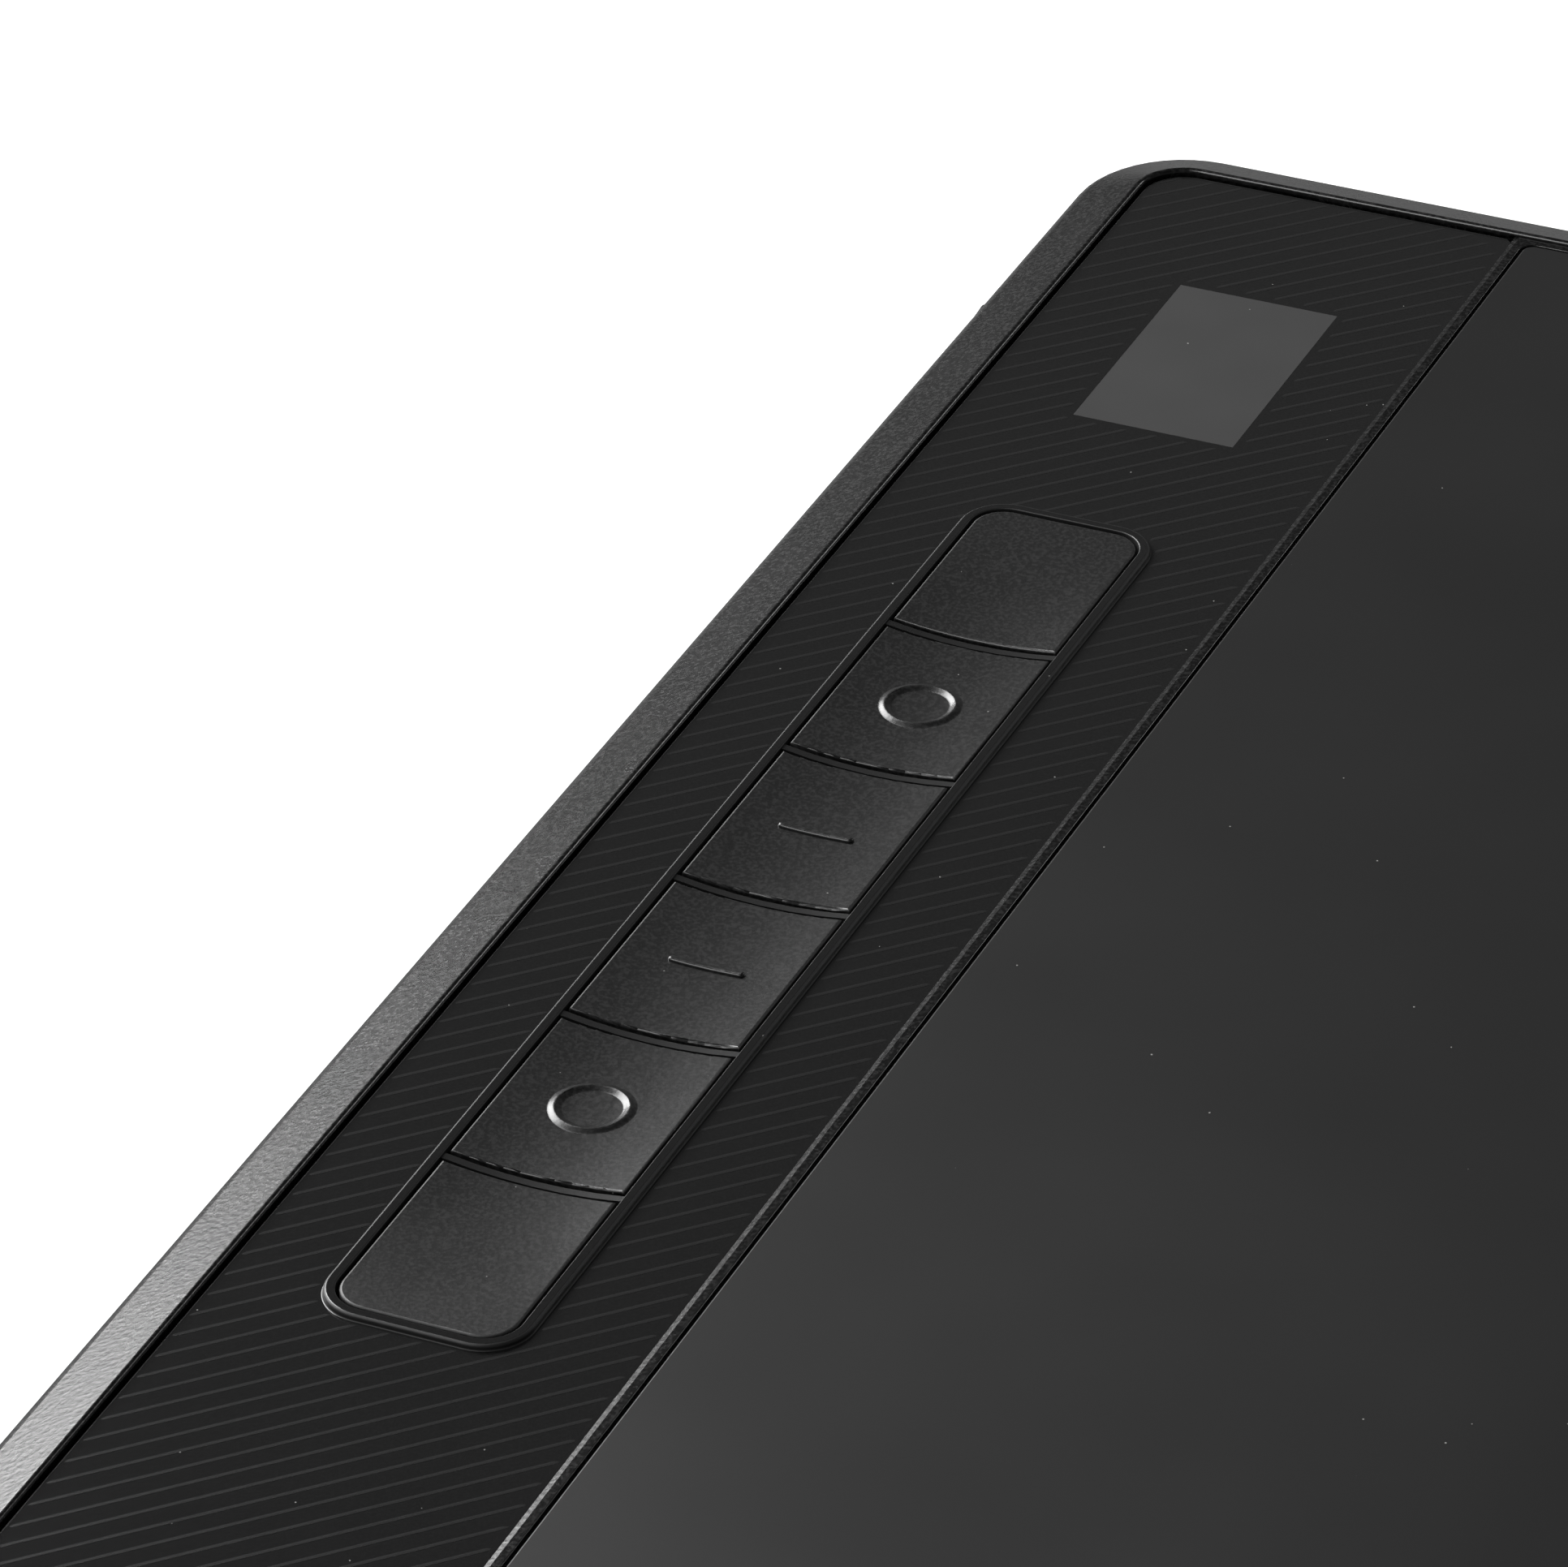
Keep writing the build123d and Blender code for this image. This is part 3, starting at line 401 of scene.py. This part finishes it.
def offLevels(tree, place, plan):
    # 1 on the side panel's rounded edges, less on the webs between the keys, 0 on its level faces
    middle, halfWide, _ = keyColumn(plan)
    betweenEnds = (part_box("key_1")[0][1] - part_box("key_6")[1][1]) / 2
    webHalf = (halfWide + plan["webEnd"] * mm, betweenEnds, 0.0)
    height = addNode(tree, "ShaderNodeSeparateXYZ", {0: place}).outputs["Z"]
    away = []
    for level in (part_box("badge_plate")[1][2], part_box("side_panel")[1][2]):
        off = addNode(tree, "ShaderNodeMath", {0: height, 1: level}, operation="SUBTRACT")
        size = addNode(tree, "ShaderNodeMath", {0: off.outputs[0]}, operation="ABSOLUTE")
        start, end = (limit * mm for limit in plan["levelFade"])
        away.append(
            addNode(
                tree,
                "ShaderNodeMapRange",
                {"Value": size.outputs[0], "From Min": start, "From Max": end},
            ).outputs[0]
        )
    both = addNode(tree, "ShaderNodeMath", {0: away[0], 1: away[1]}, operation="MULTIPLY")
    past = pastRectangle(tree, place, middle, webHalf)
    beyond = addNode(tree, "ShaderNodeMath", {0: past, 1: 0.0}, operation="GREATER_THAN")
    return addNode(
        tree,
        "ShaderNodeMix",
        {"Factor": beyond.outputs[0], "A": plan["webShare"], "B": both.outputs[0]},
        data_type="FLOAT",
    ).outputs["Result"]


def onOutline(tree, place, plan):
    # 1 on the rounded edges that the keys turn to the rim, 0 inside them
    middle, halfWide, halfLong = keyColumn(plan)
    corner = plan["corner"] * mm
    edge = plan["edge"] * mm
    past = pastRectangle(tree, place, middle, (halfWide - corner, halfLong - corner, 0.0))
    return addNode(
        tree,
        "ShaderNodeMapRange",
        {
            "Value": past,
            "From Min": corner - edge,
            "From Max": corner - edge * plan["edgeFull"],
        },
    ).outputs[0]


edgeFinders = {"levels": offLevels, "outline": onOutline}


def makePlastic(plan, shared=mouldPlan):
    material, tree, place = startMaterial(plan["name"])
    noise = {"Vector": place, "Detail": shared["detail"]}
    cloud = addNode(tree, "ShaderNodeTexNoise", {**noise, "Scale": 1 / (plan["cloud"] * mm)})
    grain = addNode(
        tree,
        "ShaderNodeTexNoise",
        {**noise, "Scale": 1 / (plan["grain"] * mm), "Roughness": shared["grainRoughness"]},
    ).outputs["Fac"]
    pits = addNode(
        tree,
        "ShaderNodeTexVoronoi",
        {"Vector": place, "Scale": shared["pits"] / (plan["grain"] * mm)},
    )
    height = addNode(
        tree, "ShaderNodeMath", {0: grain, 1: pits.outputs["Distance"]}, operation="ADD"
    )
    bump = addNode(
        tree, "ShaderNodeBump", {"Height": height.outputs[0], "Distance": plan["depth"] * mm}
    )
    # paler colour on the grain's high places: partly the mould grain's own tone, partly painted
    # glints of its sparkle
    start, end = shared["mottleAndGlint"]
    mottleAndGlint = addNode(
        tree, "ShaderNodeMapRange", {"Value": grain, "From Min": start, "From Max": end}
    ).outputs[0]
    plain = addNode(
        tree,
        "ShaderNodeMix",
        {"Factor": mottleAndGlint, "A": hexColour(plan["colour"]), "B": hexColour(plan["paler"])},
        data_type="RGBA",
    )
    specks = addNode(
        tree, "ShaderNodeTexVoronoi", {"Vector": place, "Scale": 1 / (plan["dust"] * mm)}
    )
    dust = addNode(
        tree,
        "ShaderNodeMath",
        {0: specks.outputs["Distance"], 1: plan["speck"] / plan["dust"]},
        operation="LESS_THAN",
    )
    colour = addNode(
        tree,
        "ShaderNodeMix",
        {"Factor": dust.outputs[0], "A": plain.outputs["Result"], "B": hexColour(shared["dust"])},
        data_type="RGBA",
    )
    gloss = unevenGloss(tree, cloud.outputs["Fac"], plan)
    dullness = addNode(
        tree,
        "ShaderNodeMath",
        {0: mottleAndGlint, 1: plan.get("pitGloss", shared["pitGloss"]), 2: gloss},
        operation="MULTIPLY_ADD",
    )
    if "edges" in plan:
        onEdge = edgeFinders[plan["edges"]](tree, place, columnPlan)
        dullness = addNode(
            tree,
            "ShaderNodeMath",
            {0: onEdge, 1: plan["edgeDullness"], 2: dullness.outputs[0]},
            operation="MULTIPLY_ADD",
        )
    inputs = {
        "Base Color": colour.outputs["Result"],
        "Roughness": dullness.outputs[0],
        "IOR": plan["ior"],
        "Normal": bump.outputs["Normal"],
    }
    return endMaterial(material, inputs)


# Metals, all with the default IOR. Lines are the lengths in mm of their streaks along x, y and z,
# and depth is the streaks' height in mm
metalPlan = {
    # drawn steel with bright nickel: clear reflections, drawing lines along the shell
    "socket_metal": {
        "name": "nickelPlatedSteel", "colour": "#c9c5bb", "roughness": 0.22, "spread": 0.08,
        "lines": (2.0, 0.06, 0.06), "depth": 0.0006,
    },
    # stamped tin-plated cover: soft shine
    "switch_body": {
        "name": "stampedTinplate", "colour": "#bdbdba", "roughness": 0.33, "spread": 0.08,
        "lines": (0.4, 0.4, 0.4), "depth": 0.0008,
    },
    # rolled aluminium foil: long rolling lines, slightly uneven
    "shield": {
        "name": "rolledAluminium", "colour": "#d0d1d3", "roughness": 0.36, "spread": 0.1,
        "lines": (6.0, 0.12, 0.12), "depth": 0.0015,
    },
    # the cell's laminated pouch: brushed-looking aluminium under clear nylon, softly wrinkled
    "cell": {
        "name": "pouchLaminate", "colour": "#b3b5b9", "roughness": 0.4, "spread": 0.08,
        "lines": (3.0, 0.3, 0.3), "depth": 0.006,
    },
    # black zinc on steel: dark, with turning rings that show as fine lines
    "screw_steel": {
        "name": "blackZincSteel", "colour": "#57585b", "roughness": 0.34, "spread": 0.1,
        "lines": (0.1, 0.1, 0.5), "depth": 0.001,
    },
}

# What all these metals share: the lines' detail, and the tarnish along them
streakPlan = {
    "detail": 4.0,
    "from": (0.2, 0.8),
    "tarnish": (0.85, 1.05),  # share of the colour's brightness
}


def makeMetal(plan, shared=streakPlan):
    material, tree, place = startMaterial(plan["name"])
    scale = tuple(1 / (length * mm) for length in plan["lines"])
    stretch = addNode(tree, "ShaderNodeMapping", {"Vector": place, "Scale": scale})
    lines = addNode(
        tree,
        "ShaderNodeTexNoise",
        {"Vector": stretch.outputs[0], "Scale": 1.0, "Detail": shared["detail"]},
    ).outputs["Fac"]
    bump = addNode(tree, "ShaderNodeBump", {"Height": lines, "Distance": plan["depth"] * mm})
    shade = addNode(
        tree,
        "ShaderNodeMapRange",
        {
            "Value": lines,
            "From Min": shared["from"][0],
            "From Max": shared["from"][1],
            "To Min": shared["tarnish"][0],
            "To Max": shared["tarnish"][1],
        },
    )
    tarnished = addNode(
        tree,
        "ShaderNodeHueSaturation",
        {"Color": hexColour(plan["colour"]), "Value": shade.outputs[0]},
    )
    inputs = {
        "Base Color": tarnished.outputs[0],
        "Metallic": 1.0,
        "Roughness": unevenGloss(tree, lines, plan),
        "Normal": bump.outputs["Normal"],
    }
    return endMaterial(material, inputs)


# Layered sheets: boards, flat cables, adhesive and foam, as two colours in a pattern. Bands is the
# distance between two bands in mm, width the paler share of it, wander how far the bands stray,
# and relief their height in mm
layerPlan = {
    # glass-fibre board: green solder mask over copper tracks, which show as paler bands
    "circuit_board": {
        "name": "solderMaskOnCopper", "colour": "#0f3d22", "paler": "#1d6038", "roughness": 0.26,
        "ior": 1.52, "bands": 1.2, "width": 0.42, "wander": 2.2, "relief": 0.018,
    },
    # polyimide film over copper conductors, which run along the cable
    "flat_cable": {
        "name": "polyimideOnCopper", "colour": "#8c4d12", "paler": "#b8752c", "roughness": 0.3,
        "ior": 1.6, "bands": 0.5, "width": 0.5, "wander": 0.0, "relief": 0.01,
    },
    # acrylic adhesive on a tissue carrier: milky, with faint fibres
    "adhesive": {
        "name": "acrylicAdhesive", "colour": "#8b8b84", "paler": "#a3a39b", "roughness": 0.5,
        "ior": 1.48, "bands": 0.6, "width": 0.5, "wander": 6.0, "relief": 0.006,
    },
    # closed-cell polyurethane: dull, with open pores on the cut face
    "foam": {
        "name": "closedCellFoam", "colour": "#1e1e20", "paler": "#3a3a3d", "roughness": 0.9,
        "ior": 1.45, "bands": 0.35, "width": 0.4, "wander": 9.0, "relief": 0.06,
    },
}

# What all these sheets share
bandPlan = {
    "period": math.pi / 10,  # of the wave pattern at a scale of 1
    "detail": 1.0,
    "detailScale": 0.6,
    "softness": 0.1,  # of a band's two sides
}


def makeLayer(plan, shared=bandPlan):
    material, tree, place = startMaterial(plan["name"])
    bands = addNode(
        tree,
        "ShaderNodeTexWave",
        {
            "Vector": place,
            "Scale": shared["period"] / (plan["bands"] * mm),
            "Distortion": plan["wander"],
            "Detail": shared["detail"],
            "Detail Scale": shared["detailScale"],
        },
        bands_direction="Y",
    )
    step = addNode(
        tree,
        "ShaderNodeMapRange",
        {
            "Value": bands.outputs["Fac"],
            "From Min": 1 - plan["width"] - shared["softness"],
            "From Max": 1 - plan["width"] + shared["softness"],
        },
        interpolation_type="SMOOTHSTEP",
    ).outputs[0]
    colour = addNode(
        tree,
        "ShaderNodeMix",
        {"Factor": step, "A": hexColour(plan["colour"]), "B": hexColour(plan["paler"])},
        data_type="RGBA",
    )
    bump = addNode(tree, "ShaderNodeBump", {"Height": step, "Distance": plan["relief"] * mm})
    inputs = {
        "Base Color": colour.outputs["Result"],
        "Roughness": plan["roughness"],
        "IOR": plan["ior"],
        "Normal": bump.outputs["Normal"],
    }
    return endMaterial(material, inputs)


# The side panel's fine diagonal ribs, which run out softly before every edge. Lengths are in mm
ribPlan = {
    "spacing": 2.41,  # along the panel
    "slant": 45.5,  # degrees from the panel's short side
    "width": 0.46,
    "height": 0.0045,
    "sunk": 0.0025,  # how deep the ribs' undersides lie in the panel
    "runOut": 0.6,  # how long each end takes to fade
    "runOutSteps": 4.0,  # points along a run-out
    "endShare": 0.1,  # of the full section, left at the very end
    "sectionSteps": 4,  # points over a rib
    "fromEdge": 0.15,  # clear strips inside the panel's outline, round the rim and round the badge
    "fromRim": 0.1,
    "fromBadge": 0.35,
    "rimWall": 1.05,  # from the keys to the foot of the rim
    "panelCorner": 3.36,
    "rimCorner": 3.4,
    "badgeCorner": 0.2,
    "shortest": 1.2,  # a rib cut shorter than this is left out
    "step": 0.1,  # how finely the lines are cut to the outlines
}
ribFinishWithSheen = {
    # the ribs' tops: the same smooth ABS, left a little duller by the mould, and coloured paler
    # than the panel as a painted sheen where they catch the light
    "name": "smoothAbsRibSheen", "colour": "#202020", "paler": "#222222",
    "roughness": 0.2, "spread": 0.006, "ior": 1.5, "grain": 0.12, "depth": 0.0006,
    "cloud": 7.0, "dust": 2.6, "speck": 0.06,
}


def insideRounded(tree, place, middle, half, corner):
    # true where a place lies inside a rounded rectangle
    inset = addNode(tree, "ShaderNodeCombineXYZ", {"X": corner, "Y": corner, "Z": 0.0})
    straight = addNode(
        tree, "ShaderNodeVectorMath", {0: half, 1: inset.outputs[0]}, operation="SUBTRACT"
    )
    return addNode(
        tree,
        "FunctionNodeCompare",
        {"A": pastRectangle(tree, place, middle, straight.outputs[0]), "B": corner},
        data_type="FLOAT",
        operation="LESS_THAN",
    ).outputs[0]


def makeRibs(plan, finish):
    panelLow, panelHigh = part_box("side_panel")
    badgeLow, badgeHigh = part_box("badge_plate")
    columnLow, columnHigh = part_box("key_6")[0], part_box("key_1")[1]
    top = badgeHigh[2]
    wide = panelHigh[0] - panelLow[0]
    rise = math.tan(math.radians(plan["slant"]))

    def middle(low, high):
        return ((low[0] + high[0]) / 2, (low[1] + high[1]) / 2, top)

    def half(low, high, grown, lip=0.0):
        halfWide = (high[0] - low[0]) / 2 + (grown - lip) * mm
        return (halfWide, (high[1] - low[1]) / 2 + grown * mm, 0.0)

    rimGrown = plan["rimWall"] + plan["fromRim"]
    lines = math.ceil(((panelHigh[1] - panelLow[1]) + wide * rise) / (plan["spacing"] * mm)) + 1
    cuts = math.ceil(wide * math.hypot(1, rise) / (plan["step"] * mm)) + 1
    settings = {
        "Start": (panelLow[0], panelLow[1] - wide * rise, top - plan["sunk"] * mm),
        "Line Count": lines,
        "Spacing": (0.0, plan["spacing"] * mm, 0.0),
        "Cut Count": cuts,
        "Cut Step": (wide / (cuts - 1), wide * rise / (cuts - 1), 0.0),
        "Panel Middle": middle(panelLow, panelHigh),
        "Panel Half": half(panelLow, panelHigh, -plan["fromEdge"]),
        "Panel Corner": (plan["panelCorner"] - plan["fromEdge"]) * mm,
        "Rim Middle": middle(columnLow, columnHigh),
        "Rim Half": half(columnLow, columnHigh, rimGrown, columnPlan["lip"]),
        "Rim Corner": (plan["rimCorner"] + plan["fromRim"]) * mm,
        "Badge Middle": middle(badgeLow, badgeHigh),
        "Badge Half": half(badgeLow, badgeHigh, plan["fromBadge"]),
        "Badge Corner": (plan["badgeCorner"] + plan["fromBadge"]) * mm,
        "Shortest": plan["shortest"] * mm,
        "Run Out": plan["runOut"] * mm,
        "Rib Side": (-plan["width"] / 2 * mm, 0.0, 0.0),
        # the curve rises half as high as this middle point of it
        "Rib Crown": (0.0, -2 * (plan["height"] + plan["sunk"]) * mm, 0.0),
        "Other Side": (plan["width"] / 2 * mm, 0.0, 0.0),
    }
    tree = bpy.data.node_groups.new("panelRibs", "GeometryNodeTree")
    tree.interface.new_socket(name="Geometry", in_out="OUTPUT", socket_type="NodeSocketGeometry")
    kinds = {int: "NodeSocketInt", float: "NodeSocketFloat", tuple: "NodeSocketVector"}
    sockets = {
        name: tree.interface.new_socket(name=name, in_out="INPUT", socket_type=kinds[type(value)])
        for name, value in settings.items()
    }
    given = addNode(tree, "NodeGroupInput").outputs

    starts = addNode(
        tree,
        "GeometryNodeMeshLine",
        {
            "Count": given["Line Count"],
            "Start Location": given["Start"],
            "Offset": given["Spacing"],
        },
    )
    oneLine = addNode(
        tree, "GeometryNodeMeshLine", {"Count": given["Cut Count"], "Offset": given["Cut Step"]}
    )
    copies = addNode(
        tree,
        "GeometryNodeInstanceOnPoints",
        {"Points": starts.outputs[0], "Instance": oneLine.outputs[0]},
    )
    whole = addNode(tree, "GeometryNodeRealizeInstances", {"Geometry": copies.outputs[0]})
    place = addNode(tree, "GeometryNodeInputPosition").outputs[0]
    inPanel, inRim, inBadge = (
        insideRounded(
            tree, place, given[name + " Middle"], given[name + " Half"], given[name + " Corner"]
        )
        for name in ("Panel", "Rim", "Badge")
    )
    offPanel = addNode(tree, "FunctionNodeBooleanMath", {0: inPanel}, operation="NOT")
    onOther = addNode(tree, "FunctionNodeBooleanMath", {0: inRim, 1: inBadge}, operation="OR")
    unwanted = addNode(
        tree,
        "FunctionNodeBooleanMath",
        {0: offPanel.outputs[0], 1: onOther.outputs[0]},
        operation="OR",
    )
    trimmed = addNode(
        tree,
        "GeometryNodeDeleteGeometry",
        {"Geometry": whole.outputs[0], "Selection": unwanted.outputs[0]},
        domain="POINT",
    )
    paths = addNode(tree, "GeometryNodeMeshToCurve", {"Mesh": trimmed.outputs[0]})
    reach = addNode(tree, "GeometryNodeSplineLength").outputs["Length"]
    tooShort = addNode(
        tree,
        "FunctionNodeCompare",
        {"A": reach, "B": given["Shortest"]},
        data_type="FLOAT",
        operation="LESS_THAN",
    )
    kept = addNode(
        tree,
        "GeometryNodeDeleteGeometry",
        {"Geometry": paths.outputs[0], "Selection": tooShort.outputs[0]},
        domain="CURVE",
    )
    stride = addNode(
        tree, "ShaderNodeMath", {0: given["Run Out"], 1: plan["runOutSteps"]}, operation="DIVIDE"
    )
    spaced = addNode(
        tree,
        "GeometryNodeResampleCurve",
        {"Curve": kept.outputs[0], "Length": stride.outputs[0]},
        mode="LENGTH",
    )
    upright = addNode(
        tree, "GeometryNodeSetCurveNormal", {"Curve": spaced.outputs[0]}, mode="Z_UP"
    )
    along = addNode(tree, "GeometryNodeSplineParameter").outputs["Length"]
    toEnd = addNode(tree, "ShaderNodeMath", {0: reach, 1: along}, operation="SUBTRACT")
    nearest = addNode(
        tree, "ShaderNodeMath", {0: along, 1: toEnd.outputs[0]}, operation="MINIMUM"
    )
    fullness = addNode(
        tree,
        "ShaderNodeMapRange",
        {"Value": nearest.outputs[0], "From Max": given["Run Out"], "To Min": plan["endShare"]},
        interpolation_type="SMOOTHSTEP",
    )
    section = addNode(
        tree,
        "GeometryNodeCurveQuadraticBezier",
        {
            "Resolution": plan["sectionSteps"],
            "Start": given["Rib Side"],
            "Middle": given["Rib Crown"],
            "End": given["Other Side"],
        },
    )
    closed = addNode(
        tree, "GeometryNodeSetSplineCyclic", {"Geometry": section.outputs[0], "Cyclic": True}
    )
    swept = addNode(
        tree,
        "GeometryNodeCurveToMesh",
        {
            "Curve": upright.outputs[0],
            "Profile Curve": closed.outputs[0],
            "Scale": fullness.outputs[0],
            "Fill Caps": True,
        },
    )
    real = addNode(tree, "GeometryNodeRealizeInstances", {"Geometry": swept.outputs[0]})
    coated = addNode(
        tree, "GeometryNodeSetMaterial", {"Geometry": real.outputs[0], "Material": finish}
    )
    addNode(tree, "NodeGroupOutput", {"Geometry": coated.outputs[0]})

    holder = addObject("ribMaker", bpy.data.meshes.new("ribMaker"))
    modifier = holder.modifiers.new("ribs", "NODES")
    modifier.node_group = tree
    for name, value in settings.items():
        modifier[sockets[name].identifier] = value
    mesh = takeMesh(holder)
    ribs = addObject("panel_ribs", mesh)
    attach(ribs, "root")
    print("ribs done:", len(mesh.vertices), "points,", len(mesh.polygons), "faces")


# Keys 2 and 5 again, with their rings drawn up from a flat top to one soft crest, as a finger
# feels them. Only the ring's own points move. Lengths are in mm
ringPlan = {
    "keys": ("key_2", "key_5"),
    "radius": 2.5,  # to the crest
    "width": 1.0,
    "height": 0.25,
    "edgeRound": 0.2,
    "crest": 0.2,
    "dishRadius": 43.35,
    "dishLow": 8.55,
    "foot": 0.04,  # share of the rise that the ring's old wall keeps
    "top": 0.94,  # and that its old flat top starts at
    "softEdge": 40,  # degrees, past which an edge stays crisp
    "slack": 0.01,  # tolerance in telling the ring's points from the others
    "weld": 1e-4,  # points nearer than this are one
}


def crownRing(plan, name):
    low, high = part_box(name)
    middleX, middleY = (low[0] + high[0]) / 2, (low[1] + high[1]) / 2
    half = plan["width"] / 2
    wall = plan["height"] - plan["edgeRound"]
    shape = bmesh.new()
    shape.from_mesh(nodes[name].data)
    bmesh.ops.remove_doubles(shape, verts=shape.verts, dist=plan["weld"] * mm)

    def dishAt(x):
        return plan["dishLow"] + plan["dishRadius"] - math.sqrt(plan["dishRadius"] ** 2 - x**2)

    moved = 0
    for point in shape.verts:
        x, y = (point.co.x - middleX) / mm, (point.co.y - middleY) / mm
        reach = math.hypot(x, y)
        out = reach - plan["radius"]
        rise = point.co.z / mm - dishAt(x)
        if abs(out) > half + plan["slack"] or rise < plan["slack"]:
            continue
        turned = math.atan2(max(rise - wall, 0), max(abs(out) - half + plan["edgeRound"], 0))
        share = plan["foot"] + (plan["top"] - plan["foot"]) * turned / (math.pi / 2)
        out = math.copysign(half * (1 - share), out)
        x, y = (part * (plan["radius"] + out) / reach for part in (x, y))
        z = dishAt(x) + plan["crest"] * math.sin(math.pi / 2 * share) ** 2
        point.co = (middleX + x * mm, middleY + y * mm, z * mm)
        moved += 1
    mesh = bpy.data.meshes.new(name + "_crowned")
    shape.to_mesh(mesh)
    shape.free()
    mesh.shade_smooth()
    mesh.set_sharp_from_angle(angle=math.radians(plan["softEdge"]))
    holder = addObject("keyMaker", mesh)
    flatFirst = holder.modifiers.new("flatFirst", "WEIGHTED_NORMAL")
    flatFirst.mode = "FACE_AREA"
    flatFirst.keep_sharp = True
    finished = takeMesh(holder)
    finished.materials.clear()
    finished.materials.append(finishes["key_plastic"])
    key = addObject(name + "_crowned", finished)
    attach(key, name)
    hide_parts(name)
    print(name, "ring points moved:", moved)


finishes = {slot: makePlastic(plan) for slot, plan in plasticPlan.items()}
finishes.update({slot: makeMetal(plan) for slot, plan in metalPlan.items()})
finishes.update({slot: makeLayer(plan) for slot, plan in layerPlan.items()})
for row in frame["record"]["subparts"]:
    mesh = nodes[row["node"]].data
    mesh.materials.clear()
    mesh.materials.append(finishes[row["material_slot"]])
print("finishes done")

makeRibs(ribPlan, makePlastic(ribFinishWithSheen))
for ringKey in ringPlan["keys"]:
    crownRing(ringPlan, ringKey)
